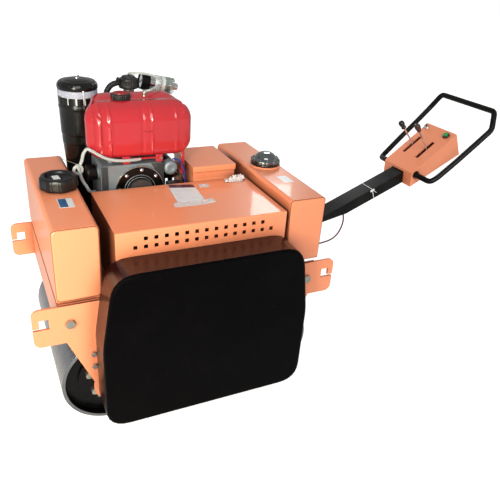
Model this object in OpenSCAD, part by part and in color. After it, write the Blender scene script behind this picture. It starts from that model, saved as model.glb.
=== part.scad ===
// Walk-behind tandem vibratory roller with two smooth drums.
// X runs from the front tank to the handle, Y from the drive cover to the far side, Z up.
// Places are taken from the middle of the wheelbase, the near side plate and the ground.

/* [Frame] */
// Distance between the outer faces of the two side plates
frame_w = 690; // [640:1:760]
// Thickness of the side plates
plate_t = 10; // [8:0.5:12]
// Height of the side plates' top edge
plate_top = 552; // [540:1:564]
// Length of the side plates from tab to tab
plate_len = 1164; // [1150:1:1200]
// Height of each tab
tab_h = 147; // [135:1:155]
// Outer corner radius of the tabs
tab_r = 25; // [10:1:35]
// Distance from the tab's end to the inner corner under it
tab_reach = 104; // [100:1:112]
// Width of the hook window in a tab
hook_w = 32; // [20:1:36]
// Height of the hook window in a tab
hook_h = 39; // [24:1:42]
// Height of the slit that leads into the hook window
slit_h = 9; // [6:0.5:14]
// Distance from the tab's end to the hook window
hook_in = 22; // [18:1:26]
// Height of the slit above the tab's lower edge
slit_up = 68; // [50:1:76]
// Thickness of the deck and cross plates
deck_t = 8; // [5:0.5:12]
// Height of the front cross plate
front_plate_h = 150; // [120:1:160]
// Height of the rear cross beam
beam_h = 82; // [60:1:90]
// Width of the rear cross beam
beam_w = 40; // [30:1:50]
// Height of the arch in the side plates between the drums
arch_z = 290; // [280:1:320]

/* [Drums] */
// Drum radius
drum_r = 180; // [176:0.5:182]
// Drum width
drum_w = 630; // [560:1:634]
// Distance between the two drum axles
wheelbase = 654; // [640:1:664]
// Thickness of the drum shell
drum_t = 12; // [8:0.5:16]
// Thickness of the drum's end discs
disc_t = 12; // [8:0.5:16]
// Depth of the end discs inside the drum's rims
disc_in = 30; // [27:0.5:40]
// Radius of the hub flange
hub_r = 118; // [108:1:130]
// Thickness of the hub flange
hub_t = 12; // [8:0.5:14]
// Radius of the hub's stub shaft
stub_r = 25; // [22:0.5:28]
// Radius of the hub's bolt circle
hub_bolt_pcd_r = 82; // [76:1:90]
// Number of bolts in each hub
hub_bolts_n = 6; // [4:1:8]
// Width across a hub bolt's head
hub_bolt_w = 24; // [16:1:28]
// Width of a bearing unit's square flange
bearing_w = 116; // [108:1:124]

/* [Drive] */
// Thickness of the drive cover's wall
cover_t = 3; // [2:0.5:5]
// Depth of the drive cover
cover_d = 124; // [116:1:140]
// Top of the drive cover
cover_top = 702; // [690:1:720]
// Bottom of the drive cover
cover_bottom = 84; // [80:1:98]
// Half width of the drive cover at its shoulders
cover_top_half = 358; // [330:1:366]
// Half width of the drive cover below its knees
cover_half = 389; // [384:1:396]
// How far the drive cover sits from the middle towards the handle
cover_x = 8; // [0:1:12]
// Height of the knees of the drive cover
cover_knee = 425; // [380:1:460]
// Height of the shoulders of the drive cover
cover_shoulder = 625; // [600:1:640]
// Corner radius of the drive cover
cover_r = 82; // [60:1:90]
// Chain pitch
chain_p = 15.875; // [15.875:0.001:15.875]
// Teeth of a drum sprocket
drum_teeth = 16; // [16:1:16]
// Teeth of a drive sprocket
drive_teeth = 12; // [12:1:12]
// Height of the gearbox's input shaft
input_z = 505; // [490:1:512]
// Height of the gearbox's output shaft
output_z = 405; // [395:1:415]
// Radius of the gearbox's input shaft
input_r = 14; // [12:0.5:16]
// Radius of the gearbox's output shaft
output_r = 16; // [14:0.5:18]
// Pitch radius of the vibrator belt's driving pulley
vib_drive_r = 60; // [52:1:66]
// Pitch radius of the vibrator's own pulley
vib_r = 45; // [38:1:48]
// Pitch radius of the engine pulley
crank_pulley_r = 47; // [42:1:50]
// Pitch radius of the gearbox's input pulley
input_pulley_r = 70; // [60:1:76]
// Width of the V-belts
belt_w = 13; // [10:0.5:16]
// Thickness of the V-belts
belt_t = 9; // [7:0.5:10]
// Radius of the vibrator shaft
vib_shaft_r = 12; // [10:0.5:14]
// Radius of the eccentric weight
weight_r = 70; // [40:1:110]

/* [Water tanks] */
// Length of a water tank along the machine
tank_l = 150; // [130:1:154]
// Height of the water tanks' top
tank_top = 831; // [815:1:840]
// Height of the water tanks' bottom
tank_bottom = 572; // [566:1:578]
// Distance between the outer faces of the two tanks
tanks_over = 996; // [990:1:1004]
// Thickness of the tank sheet
tank_t = 3; // [2:0.5:5]
// Radius of the tank's long top edges
tank_edge_r = 15; // [6:1:24]
// Depth of the rim round the tank's end plates
tank_lip = 4; // [2:0.5:8]
// Radius of a filler neck
neck_r = 48; // [40:1:50]
// Height of a filler neck
neck_h = 18; // [12:1:24]
// How far each filler neck sits from its tank's middle towards the handle
neck_x = 10.6; // [0:0.2:12]
// Radius of the front lid
front_lid_r = 66; // [60:1:70]
// Height of the front lid
front_lid_h = 45; // [36:1:54]
// Radius of the rear lid
rear_lid_r = 63; // [56:1:64]
// Height of the rear lid
rear_lid_h = 56; // [42:1:60]

/* [Hood and battery box] */
// Length of the hood
hood_l = 634; // [600:1:640]
// Width of the hood across the machine
hood_w = 368; // [340:1:372]
// Height of the hood's top
hood_top = 792; // [780:1:800]
// Thickness of the hood's sheet
hood_t = 3; // [2:0.5:5]
// Size of a square vent hole
vent_w = 14; // [8:0.5:18]
// Pitch of the vent holes
vent_pitch = 36.2; // [30:0.1:38]
// Vent holes in the upper row
vent_upper_n = 13; // [5:1:13]
// Vent holes in the lower row
vent_lower_n = 15; // [5:1:15]
// Length of the battery box
box_l = 180; // [160:1:200]
// Width of the battery box
box_w = 236; // [200:1:250]
// Height of the battery box's top
box_top = 850; // [820:1:860]

/* [Engine] */
// Height of the crankshaft
crank_z = 768; // [762:1:774]
// Length of the crankcase
case_l = 248; // [230:1:256]
// Width of the crankcase across the machine
case_w = 168; // [150:1:170]
// Height of the crankcase's top
case_top = 872; // [860:1:880]
// Height of the rails under the engine
rail_h = 66; // [56:1:72]
// Radius of the engine's round flange
flange_r = 97; // [90:1:100]
// Radius of the crankshaft
crank_r = 15; // [12:0.5:18]
// Length of the fuel tank
fuel_l = 406; // [380:1:410]
// Width of the fuel tank across the machine
fuel_w = 157; // [120:1:158]
// Height of the fuel tank
fuel_h = 205; // [190:1:212]
// Corner radius of the fuel tank's long faces
fuel_r = 62; // [40:1:70]
// Edge radius of the fuel tank
fuel_edge_r = 26; // [12:1:30]
// Radius of the fuel cap
fuel_cap_r = 36; // [30:1:40]
// Height of the fuel cap
fuel_cap_h = 24; // [18:1:30]
// Radius of the air cleaner's cap
cleaner_r = 75; // [64:1:76]
// Height of the air cleaner's top
cleaner_top = 1158; // [1140:1:1170]
// Radius of the silencer
muffler_r = 33; // [30:1:42]
// Length of the silencer
muffler_l = 143; // [130:1:165]

/* [Handle] */
// Width of the pole's box section
pole_w = 80; // [70:1:84]
// Height of the pole's box section
pole_h = 50; // [44:1:56]
// Wall of the pole
pole_t = 4; // [2:0.5:6]
// Length of the pole from its pivot
pole_len = 780; // [760:1:800]
// Distance of the handle pivot from the rear cross beam
pivot_out = 100; // [95:1:110]
// Height of the handle pivot
pivot_z = 475; // [470:1:482]
// Radius of the handle pin
pin_r = 10; // [8:0.5:12]
// Pitch of the pole when the handle is down
handle_pitch = 22.8; // [20:0.1:25]
// Pitch of the control box's top
box_pitch = 37.4; // [35:0.1:39]
// Width of the control box
console_w = 196; // [180:1:204]
// Length of the control box's top
console_l = 278; // [270:1:290]
// Sheet of the control box
console_t = 2.5; // [2:0.5:3.5]
// Radius of the handle loop's tube
loop_r = 12.5; // [10:0.5:14]
// Half width of the loop at its widest
loop_half = 202; // [190:1:215]
// Half width of the loop's cross bar
bar_half = 168; // [150:1:175]
// Radius of a lever's rod
rod_r = 4; // [3:0.5:5]
// Length of a lever from pivot to knob
lever_l = 174; // [165:1:185]
// Radius of a lever's knob
knob_r = 14; // [10:0.5:16]
// Length of a lever's knob
knob_l = 44; // [36:1:50]
// Length of the lever slots
slot_l = 106; // [96:1:112]
// Radius of the start button
button_r = 10; // [8:0.5:12]

/* [Hidden] */
$fn = 48;

// Overrun of every cut
cut = 1;
// Gap between pieces that lie against each other
gap = 0.3;
// Radial clearance of a shaft that turns in a bore
run = 0.05;
// Sides of a hull's own children
hull_fn = 24;

// Colours
orange = [0.94, 0.55, 0.37];
red = [0.86, 0.15, 0.19];
black = [0.03, 0.03, 0.035];
steel = [0.55, 0.56, 0.58];
silver = [0.72, 0.73, 0.74];
green = [0.09, 0.2, 0.15];
iron = [0.25, 0.26, 0.28];
clear = [0.82, 0.84, 0.8];

// Places along the machine
tank_face = tanks_over / 2;
beam_in = 98;
beam_x = tank_face - beam_in;
axle_x = wheelbase / 2;
// The handle sits a little towards the far side
handle_off = 8;
handle_y = frame_w / 2 + handle_off;
pivot_x = beam_x + beam_w + pivot_out;
// The loop's cross bar in the pole's frame, along it and above it
bar_u = 1090;
bar_v = 171;
// Bolt heads on the side plates
big_head_h = 9;
big_head_w = 30;
big_shank_r = 8;
small_head_h = 6;
small_head_w = 17;
small_shank_r = 5;

// Middle of the air cleaner, the piece that reaches furthest to the far side
cleaner_x = -276;
cleaner_y = 638;

// The whole part is moved so that its origin is on the ground under the middle of its box
x_low = -plate_len / 2;
x_high = pivot_x + bar_u * cos(handle_pitch) - bar_v * sin(handle_pitch) + loop_r;
org_x = (x_low + x_high) / 2;
org_y = (max(frame_w + big_head_h, cleaner_y + cleaner_r) - cover_d) / 2;
module placed() { translate([-org_x, -org_y, 0]) children(); }

// A drawing in X and Z made into a plate from y0 on
module slab(y0, t) { translate([0, y0 + t, 0]) rotate([90, 0, 0]) linear_extrude(t) children(); }
// A round bar along Y from y0 to y1
module bar_y(x, z, y0, y1, r) { translate([x, y0, z]) rotate([-90, 0, 0]) cylinder(r = r, h = y1 - y0); }
// A round bar along X from x0 to x1
module bar_x(y, z, x0, x1, r) { translate([x0, y, z]) rotate([0, 90, 0]) cylinder(r = r, h = x1 - x0); }
// A turned profile with its axis along Y, given as radius and distance from y0
module turned_y(x, z, y0) { translate([x, y0, z]) rotate([-90, 0, 0]) rotate_extrude() children(); }
module both_ends() { children(); mirror([1, 0, 0]) children(); }
module handle_frame() {
    translate([pivot_x, handle_y, pivot_z]) rotate([0, -handle_pitch, 0]) children();
}

function unit(v) = v / norm(v);
function arc(c, r, a0, a1, n) =
    [for (i = [0:n]) let (a = a0 + (a1 - a0) * i / n) [c[0] + r * cos(a), c[1] + r * sin(a)]];
function mix(a, b, s) = a + (b - a) * s;
// A corner b between a and c rounded with a curve that starts d away from it
function corner(a, b, c, d, n) =
    let (p = b + unit(a - b) * d, q = b + unit(c - b) * d)
    [for (i = [0:n]) let (s = i / n) mix(mix(p, b, s), mix(b, q, s), s)];
function rounded_path(p, d, n) = concat(
    [p[0]],
    [for (i = [1:len(p) - 2]) each corner(p[i - 1], p[i], p[i + 1], d, n)],
    [p[len(p) - 1]]);
function rounded_ring(p, d, n) =
    let (m = len(p))
    [for (i = [0:m - 1]) each corner(p[(i + m - 1) % m], p[i], p[(i + 1) % m], d[i], n)];
// The outline of a belt round two circles
function belt(c1, r1, c2, r2, n) =
    let (v = c2 - c1, a = atan2(v[1], v[0]), b = acos((r1 - r2) / norm(v)))
    concat(arc(c1, r1, a + b, a + 360 - b, n), arc(c2, r2, a - b, a + b, n));

function ring_at(p, i, r, sides, up) =
    let (last = len(p) - 1,
         t = unit(p[min(i + 1, last)] - p[max(i - 1, 0)]),
         b = unit(cross(t, up)),
         w = cross(t, b))
    [for (j = [0:sides - 1]) let (a = 360 * j / sides) p[i] + (b * cos(a) + w * sin(a)) * r];
// Faces between rings of equal size, with both ends closed
function ring_faces(rings, sides) = concat(
    [[for (j = [0:sides - 1]) j]],
    [for (i = [0:rings - 2]) for (j = [0:sides - 1]) let (k = (j + 1) % sides)
        each [[i * sides + j, (i + 1) * sides + j, (i + 1) * sides + k],
              [i * sides + j, (i + 1) * sides + k, i * sides + k]]],
    [[for (j = [sides - 1:-1:0]) (rings - 1) * sides + j]]);
module tube(p, r, sides, up) {
    polyhedron([for (i = [0:len(p) - 1]) each ring_at(p, i, r, sides, up)],
               ring_faces(len(p), sides), 2);
}

// Side plates. Bearing leg and arch between the drums
leg_r = 70;
notch_z = plate_top - tab_h;
arch_foot = 112;
shaft_hole = 32;
output_hole_r = output_r + 4;
input_hole_r = input_r + 4;
bolt_in = 121;
bolt_down = 72;
side_bolt_zs = [333, 279];
side_bolt_gap = 1.5;
side_bolt_inner_gap = 8;
// The front pair stands outside the drive cover, the rear pair inside it
side_bolt_xs = [
    cover_x - cover_half - small_head_w / 2 - side_bolt_gap,
    cover_x + cover_half - cover_t - small_head_w / 2 - side_bolt_inner_gap];
bearing_bolt = 36;

function half_plate() = concat(
    arc([-plate_len / 2 + tab_r, plate_top - tab_r], tab_r, 90, 180, 6),
    arc([-plate_len / 2 + tab_r, notch_z + tab_r], tab_r, 180, 270, 6),
    [[-plate_len / 2 + tab_reach, notch_z]],
    arc([-axle_x, drum_r], leg_r, 160, 380, 22),
    [[-axle_x + arch_foot, arch_z]]);
function mirrored(p) = [for (i = [len(p) - 1:-1:0]) [-p[i][0], p[i][1]]];

module hook_cut() {
    translate([-plate_len / 2 - cut, notch_z + slit_up])
        square([hook_in + hook_w / 2 + cut, slit_h]);
    translate([-plate_len / 2 + hook_in, notch_z + slit_up]) square([hook_w, hook_h]);
}
module plate_drawing() {
    difference() {
        polygon(concat(half_plate(), mirrored(half_plate())));
        both_ends() hook_cut();
    }
}
module plate_holes(y0) {
    both_ends() {
        bar_y(-axle_x, drum_r, y0 - cut, y0 + plate_t + cut, shaft_hole);
        bar_y(-plate_len / 2 + bolt_in, plate_top - bolt_down,
              y0 - cut, y0 + plate_t + cut, big_shank_r + gap);
        for (i = [-1, 1]) for (j = [-1, 1])
            bar_y(-axle_x + i * bearing_bolt, drum_r + j * bearing_bolt,
                  y0 - cut, y0 + plate_t + cut, small_shank_r + gap);
    }
    for (x = side_bolt_xs) for (z = side_bolt_zs)
        bar_y(x, z, y0 - cut, y0 + plate_t + cut, small_shank_r + gap);
}
module near_side_plate() {
    color(orange) placed() difference() {
        slab(0, plate_t) plate_drawing();
        plate_holes(0);
        bar_y(0, output_z, -cut, plate_t + cut, output_hole_r);
        bar_y(0, input_z, -cut, plate_t + cut, input_hole_r);
    }
}
module far_side_plate() {
    color(orange) placed() difference() {
        slab(frame_w - plate_t, plate_t) plate_drawing();
        plate_holes(frame_w - plate_t);
    }
}

// Plates and beams between the side plates
inner_w = frame_w - 2 * plate_t;
deck_open_half = 100;
deck_open_y = 50;
deck_open_w = 350;
spray_x = 380;
spray_in = 90;
spray_y = frame_w - spray_in;
spray_r = 11;
spray_pipe_r = 8;
spray_up = 28;
module front_cross_plate() {
    color(orange) placed()
        translate([-tank_face, plate_t, plate_top - front_plate_h]) cube([deck_t, inner_w, front_plate_h]);
}
module rear_cross_beam() {
    wall = deck_t / 2;
    color(orange) placed() translate([beam_x, plate_t, plate_top - beam_h]) difference() {
        cube([beam_w, inner_w, beam_h]);
        translate([wall, -cut, wall]) cube([beam_w - 2 * wall, inner_w + 2 * cut, beam_h - 2 * wall]);
    }
}
module deck_plate() {
    color(orange) placed() difference() {
        translate([-tank_face + deck_t, plate_t, plate_top - deck_t])
            cube([tank_face - deck_t + beam_x, inner_w, deck_t]);
        translate([-deck_open_half, deck_open_y, plate_top - deck_t - cut])
            cube([2 * deck_open_half, deck_open_w, deck_t + 2 * cut]);
        for (s = [-1, 1]) translate([s * spray_x, spray_y, plate_top - deck_t - cut])
            cylinder(r = spray_pipe_r + cut, h = deck_t + 2 * cut);
    }
}

// Rails that carry the tanks and the engine
rail_t = 5;
rail_in = 6;
tank_rail_h = tank_bottom - plate_top;
front_rail_l = tank_l - 2 * rail_in;
rear_rail_l = beam_x + beam_w - tank_face + tank_l - 2 * rail_in;
engine_y = 405;
engine_rail_w = 42;
rail_x_shares = [0.08, 0.76];
crank_x = -103;
case_left = 148;
case_x = crank_x - case_left;
module rail_ring(x0, l) {
    translate([x0, plate_t + rail_in, plate_top]) difference() {
        cube([l, inner_w - 2 * rail_in, tank_rail_h]);
        translate([rail_t, rail_t, -cut])
            cube([l - 2 * rail_t, inner_w - 2 * rail_in - 2 * rail_t, tank_rail_h + 2 * cut]);
    }
}
module mounting_rails() {
    color(orange) placed() {
        rail_ring(-tank_face + rail_in, front_rail_l);
        rail_ring(tank_face - tank_l + rail_in, rear_rail_l);
        for (s = rail_x_shares) translate([case_x + s * case_l, engine_y, plate_top]) difference() {
            cube([engine_rail_w, case_w, rail_h]);
            translate([rail_t, -cut, rail_t])
                cube([engine_rail_w, case_w + 2 * cut, rail_h - 2 * rail_t]);
        }
    }
}

// Water tanks. The outer long edge and the inner long edge of the top are rounded
front_neck_share = 0.51;
rear_neck_share = 0.549;
neck_t = 4;
module tank_drawing(inset) {
    l = tank_l - 2 * inset;
    h = tank_top - tank_bottom - 2 * inset;
    r = tank_edge_r - inset;
    translate([-l / 2, tank_bottom + inset]) {
        square([l, h - r]);
        translate([r, h - 2 * r]) square([l - 2 * r, 2 * r]);
        translate([r, h - r]) circle(r);
        translate([l - r, h - r]) circle(r);
    }
}
module water_tank(neck_share) {
    difference() {
        union() {
            slab(0, frame_w) tank_drawing(0);
            translate([neck_x, frame_w * neck_share, tank_top - tank_t])
                cylinder(r = neck_r, h = neck_h + tank_t);
        }
        slab(tank_lip + tank_t, frame_w - 2 * (tank_lip + tank_t)) tank_drawing(tank_t);
        slab(-cut, tank_lip + cut) tank_drawing(tank_t);
        slab(frame_w - tank_lip, tank_lip + cut) tank_drawing(tank_t);
        translate([neck_x, frame_w * neck_share, tank_top - 2 * tank_t])
            cylinder(r = neck_r - neck_t, h = neck_h + 3 * tank_t);
    }
}
tank_mid = tank_face - tank_l / 2;
module front_water_tank() {
    color(orange) placed() translate([-tank_mid, 0, 0]) water_tank(front_neck_share);
}
module rear_water_tank() {
    color(orange) placed() translate([tank_mid, 0, 0]) water_tank(rear_neck_share);
}

// Screw lids with grip lugs
lid_rim = 8;
lid_lugs = 8;
lug_t = 5;
lug_w = 17;
lug_drop = 9;
module lid_body(r, h, crown) {
    bore = neck_r + 2 * gap;
    ceiling = neck_h + 2 * gap;
    rotate_extrude() polygon(concat(
        [[0, ceiling], [bore, ceiling], [bore, gap], [r, gap], [r, h - lid_rim],
         [r - lid_rim / 2, h], [r - 3 * lid_rim / 2, h], [r - 2 * lid_rim, h - lid_rim]],
        crown));
    for (i = [0:lid_lugs - 1]) rotate([0, 0, 360 * i / lid_lugs])
        translate([r - lug_t / 2, -lug_w / 2, gap + lug_drop / 3])
            cube([lug_t, lug_w, h - lid_rim - lug_drop]);
}
module front_tank_lid() {
    color(black) placed() translate([neck_x - tank_mid, frame_w * front_neck_share, tank_top])
        lid_body(front_lid_r, front_lid_h, [[0, front_lid_h - lid_rim]]);
}
rear_lid_skirt_share = 0.62;
module rear_tank_lid() {
    skirt = rear_lid_h * rear_lid_skirt_share;
    dome_r = rear_lid_r - 2 * lid_rim;
    dome_h = rear_lid_h - skirt + lid_rim;
    color(black) placed() translate([tank_mid + neck_x, frame_w * rear_neck_share, tank_top])
        lid_body(rear_lid_r, skirt,
                 [for (p = arc([0, 0], dome_r, 0, 90, 8)) [p[0], skirt - lid_rim + p[1] * dome_h / dome_r]]);
}

// Front deck hood with two rows of square vent holes
hood_x = 17;
hood_side = 6;
upper_row_z = 763;
lower_row_z = 733;
upper_row_x = -197;
lower_row_x = -233;
module vent_row(x0, z, n) {
    for (i = [0:n - 1]) translate([x0 + i * vent_pitch - vent_w / 2, z - vent_w / 2])
        square(vent_w);
}
module hood() {
    h = hood_top - plate_top - gap;
    color(orange) placed() difference() {
        translate([hood_x - hood_l / 2, -hood_t, plate_top + gap]) {
            cube([hood_l, hood_w, h - hood_side]);
            translate([0, hood_side, 0]) cube([hood_l, hood_w - hood_side, h]);
            bar_x(hood_side, h - hood_side, 0, hood_l, hood_side);
        }
        translate([hood_x - hood_l / 2 + hood_t, 0, plate_top - cut])
            cube([hood_l - 2 * hood_t, hood_w + cut, h - hood_t + cut + gap]);
        slab(-hood_t - cut, hood_t + 2 * cut) {
            vent_row(upper_row_x, upper_row_z, vent_upper_n);
            vent_row(lower_row_x, lower_row_z, vent_lower_n);
        }
    }
}

// Battery box with the battery in it
box_x = 110;
box_y = 374;
box_t = 3;
box_lid_h = 22;
battery_in = 14;
battery_h = 190;
post_r = 9;
post_h = 16;
post_y_shares = [0.2, 0.8];
module battery_box() {
    h = box_top - plate_top;
    color(orange) placed() translate([box_x, box_y, plate_top]) difference() {
        union() {
            cube([box_l, box_w, h - box_lid_h]);
            translate([-box_t, -box_t, h - box_lid_h])
                cube([box_l + 2 * box_t, box_w + 2 * box_t, box_lid_h]);
        }
        translate([box_t, box_t, box_t]) cube([box_l - 2 * box_t, box_w - 2 * box_t, h - 2 * box_t]);
    }
}
module battery() {
    l = box_l - 2 * box_t - 2 * battery_in;
    w = box_w - 2 * box_t - 2 * battery_in;
    color(black) placed() translate([box_x + box_t + battery_in, box_y + box_t + battery_in,
                                     plate_top + box_t]) {
        cube([l, w, battery_h]);
        for (s = post_y_shares) translate([l / 4, w * s, battery_h - cut])
            cylinder(r = post_r, h = post_h + cut);
    }
}

// Drive cover, one moulded shell with rounded edges
cover_edge_r = 9;
cover_seam = hood_t + gap;
cover_edge_share = 0.3;
module drive_cover() {
    z_mid = (cover_top + cover_bottom) / 2;
    lean = (cover_half - cover_top_half) / (cover_shoulder - cover_knee);
    top_half = cover_top_half - lean * (cover_top - cover_shoulder);
    side = [[top_half, cover_top], [cover_half, cover_knee], [cover_half, cover_bottom]];
    turn = [cover_r, cover_r / 3, cover_r];
    ring = rounded_ring(
        concat(side, [for (i = [2:-1:0]) [-side[i][0], side[i][1]]]),
        concat(turn, [for (i = [2:-1:0]) turn[i]]), 6);
    y_front = -cover_d;
    y_wall = -cover_d + cover_edge_r;
    // Place of each ring along Y and how far it is drawn in
    rows = [
        [y_front, cover_edge_r],
        [y_front + cover_edge_r * cover_edge_share, cover_edge_r * cover_edge_share],
        [y_wall, 0], [-cover_seam, 0], [-cover_seam, cover_t], [y_wall, cover_t],
        [y_front + cover_t, cover_edge_r]];
    color(black) placed() polyhedron(
        [for (row = rows) let (s = 1 - row[1] / cover_half) for (p = ring)
            [cover_x + p[0] * s, row[0], z_mid + (p[1] - z_mid) * s]],
        ring_faces(len(rows), len(ring)), 4);
}

// Bearing units on the inner faces of the side plates
flange_t = 12;
boss_r = 48;
boss_h = 26;
bearing_r = 40;
module bearing_unit() {
    difference() {
        union() {
            slab(0, flange_t) square(bearing_w, center = true);
            bar_y(0, 0, 0, boss_h, boss_r);
        }
        bar_y(0, 0, -cut, boss_h + cut, bearing_r);
        for (i = [-1, 1]) for (j = [-1, 1])
            bar_y(i * bearing_bolt, j * bearing_bolt, -cut, flange_t + cut, small_shank_r + gap);
    }
    difference() {
        bar_y(0, 0, 0, boss_h, bearing_r - run);
        bar_y(0, 0, -cut, boss_h + cut, stub_r + run);
    }
}
module bearing_units() {
    color(green) placed() for (s = [-1, 1]) {
        translate([s * axle_x, plate_t, drum_r]) bearing_unit();
        translate([s * axle_x, frame_w - plate_t, drum_r]) mirror([0, 1, 0]) bearing_unit();
    }
}

// Bolts through the side plates, each with its head outside
nut_h = 8;
big_nut_h = 12;
module hex(w) { circle(r = w / sqrt(3), $fn = 6); }
module plate_bolt(x, z, w, h, r, l, nut) {
    translate([x, 0, z]) {
        slab(-h, h) hex(w);
        bar_y(0, 0, -h / 2, l, r);
        if (nut > 0) slab(plate_t, nut) hex(w);
    }
}
module bolt_side() {
    for (s = [-1, 1]) {
        plate_bolt(s * (plate_len / 2 - bolt_in), plate_top - bolt_down,
                   big_head_w, big_head_h, big_shank_r, plate_t + big_nut_h, big_nut_h);
        for (i = [-1, 1]) for (j = [-1, 1])
            plate_bolt(s * axle_x + i * bearing_bolt, drum_r + j * bearing_bolt,
                       small_head_w, small_head_h, small_shank_r, plate_t + flange_t, 0);
    }
    for (x = side_bolt_xs) for (z = side_bolt_zs)
        plate_bolt(x, z, small_head_w, small_head_h, small_shank_r, plate_t + nut_h, nut_h);
}
module frame_bolts() {
    color(steel) placed() {
        bolt_side();
        translate([0, frame_w, 0]) mirror([0, 1, 0]) bolt_side();
    }
}

// Drums, each with two end discs inside its rims
drum_y = (frame_w - drum_w) / 2;
spigot_r = 60;
module drum(x) {
    disc_y = drum_y + disc_in;
    r_in = drum_r - drum_t;
    hole = spigot_r + run;
    color(steel) placed() turned_y(x, drum_r, 0) polygon([
        [drum_r, drum_y], [drum_r, drum_y + drum_w], [r_in, drum_y + drum_w],
        [r_in, frame_w - disc_y], [hole, frame_w - disc_y], [hole, frame_w - disc_y - disc_t],
        [r_in, frame_w - disc_y - disc_t], [r_in, disc_y + disc_t], [hole, disc_y + disc_t],
        [hole, disc_y], [r_in, disc_y], [r_in, drum_y]]);
}
module front_drum() { drum(-axle_x); }
module rear_drum() { drum(axle_x); }

// Hubs with their stub shafts and bolts
stub_near = 52;
stub_far_in = 4;
hub_bolt_h = 10;
hub_bolt_turn = 42;
module hub(stub_end, bore_r, bore_end) {
    face = drum_y + disc_in;
    difference() {
        union() {
            bar_y(0, 0, face - hub_t, face, hub_r);
            bar_y(0, 0, face - cut, face + disc_t, spigot_r);
            bar_y(0, 0, stub_end, face, stub_r);
        }
        if (bore_r > 0) bar_y(0, 0, bore_end, face + disc_t + cut, bore_r);
    }
    for (k = [0:hub_bolts_n - 1]) rotate([0, -hub_bolt_turn - 360 * k / hub_bolts_n, 0])
        translate([hub_bolt_pcd_r, 0, 0]) slab(face - hub_t - hub_bolt_h, hub_bolt_h) hex(hub_bolt_w);
}
module hubs(x, near_bore, far_bore) {
    color(iron) placed() translate([x, 0, drum_r]) {
        hub(-stub_near, near_bore, -stub_near - cut);
        translate([0, frame_w, 0]) mirror([0, 1, 0])
            hub(stub_far_in, far_bore, drum_y + disc_in - hub_t / 2);
    }
}
module front_drum_hubs() { hubs(-axle_x, vib_shaft_r + run, vib_shaft_r + run); }
module rear_drum_hubs() { hubs(axle_x, 0, 0); }

// Chain sprockets
sprocket_t = 6;
row_front_y = -26;
row_rear_y = -46;
tooth_out = 4;
tooth_in = 5;
tooth_foot_share = 0.3;
tooth_tip_share = 0.1;
hub_over = 4;
collar_out = 9;
function pitch_r(n) = chain_p / 2 / sin(180 / n);
module sprocket_drawing(n) {
    r = pitch_r(n);
    polygon([for (k = [0:n - 1]) each [
        for (q = [[-tooth_foot_share, -tooth_in], [-tooth_tip_share, tooth_out],
                  [tooth_tip_share, tooth_out], [tooth_foot_share, -tooth_in]])
            let (a = 360 * (k + q[0]) / n) [(r + q[1]) * cos(a), (r + q[1]) * sin(a)]]]);
}
module drum_sprocket(x, y) {
    color(iron) placed() translate([x, 0, drum_r]) difference() {
        union() {
            slab(y, sprocket_t) sprocket_drawing(drum_teeth);
            bar_y(0, 0, y - hub_over, y + sprocket_t + hub_over, stub_r + collar_out);
        }
        bar_y(0, 0, y - hub_over - cut, y + sprocket_t + hub_over + cut, stub_r + run);
    }
}
module front_drum_sprocket() { drum_sprocket(-axle_x, row_front_y); }
module rear_drum_sprocket() { drum_sprocket(axle_x, row_rear_y); }

// Pulleys with a square groove for a belt of rectangular section
pulley_w = 20;
pulley_lip = 2;
module pulley(r, y, bore) {
    root = r - belt_t / 2 - gap;
    groove = belt_w / 2 + gap;
    turned_y(0, 0, y) polygon([
        [bore, -pulley_w / 2], [r + pulley_lip, -pulley_w / 2], [r + pulley_lip, -groove],
        [root, -groove], [root, groove], [r + pulley_lip, groove],
        [r + pulley_lip, pulley_w / 2], [bore, pulley_w / 2]]);
}
module belt_ring(c1, r1, c2, r2, y) {
    slab(y - belt_w / 2, belt_w) difference() {
        polygon(belt(c1, r1 + belt_t / 2, c2, r2 + belt_t / 2, 20));
        polygon(belt(c1, r1 - belt_t / 2, c2, r2 - belt_t / 2, 20));
    }
}

// Vibrator shaft with its eccentric weight and pulley, through the front drum's hubs
vib_belt_y = -80;
engine_belt_y = 383;
shaft_over = 4;
weight_l_share = 0.62;
weight_y_share = 0.19;
weight_end = 0.5;
module vibrator_shaft() {
    y0 = vib_belt_y - pulley_w / 2 - shaft_over;
    y1 = frame_w - drum_y - disc_in + hub_t / 2 - weight_end;
    color(steel) placed() translate([-axle_x, 0, drum_r]) {
        bar_y(0, 0, y0, y1, vib_shaft_r);
        pulley(vib_r, vib_belt_y, 0);
        intersection() {
            bar_y(0, 0, drum_w * weight_y_share + drum_y,
                  drum_w * (weight_y_share + weight_l_share) + drum_y, weight_r);
            translate([-weight_r, 0, -weight_r]) cube([2 * weight_r, frame_w, weight_r]);
        }
    }
}

// Gearbox in the deck opening, hung by its top flange
gear_half = 90;
gear_y = 60;
gear_l = 280;
gear_bottom = 345;
gear_wall = 10;
gear_flange_half = 118;
gear_flange_y = 44;
gear_flange_l = 312;
gear_flange_t = 8;
shaft_in = 5;
module gearbox() {
    h = plate_top - gear_bottom;
    color(green) placed() difference() {
        union() {
            translate([-gear_half, gear_y, gear_bottom]) cube([2 * gear_half, gear_l, h + cut]);
            translate([-gear_flange_half, gear_flange_y, plate_top])
                cube([2 * gear_flange_half, gear_flange_l, gear_flange_t]);
        }
        translate([-gear_half + gear_wall, gear_y + gear_wall, gear_bottom + gear_wall])
            cube([2 * (gear_half - gear_wall), gear_l - 2 * gear_wall, h - gear_wall]);
        bar_y(0, input_z, gear_y - cut, gear_y + gear_l + cut, input_r + run);
        bar_y(0, output_z, gear_y - cut,
              gear_y + gear_l - gear_wall + shaft_in + weight_end, output_r + run);
    }
}
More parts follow.
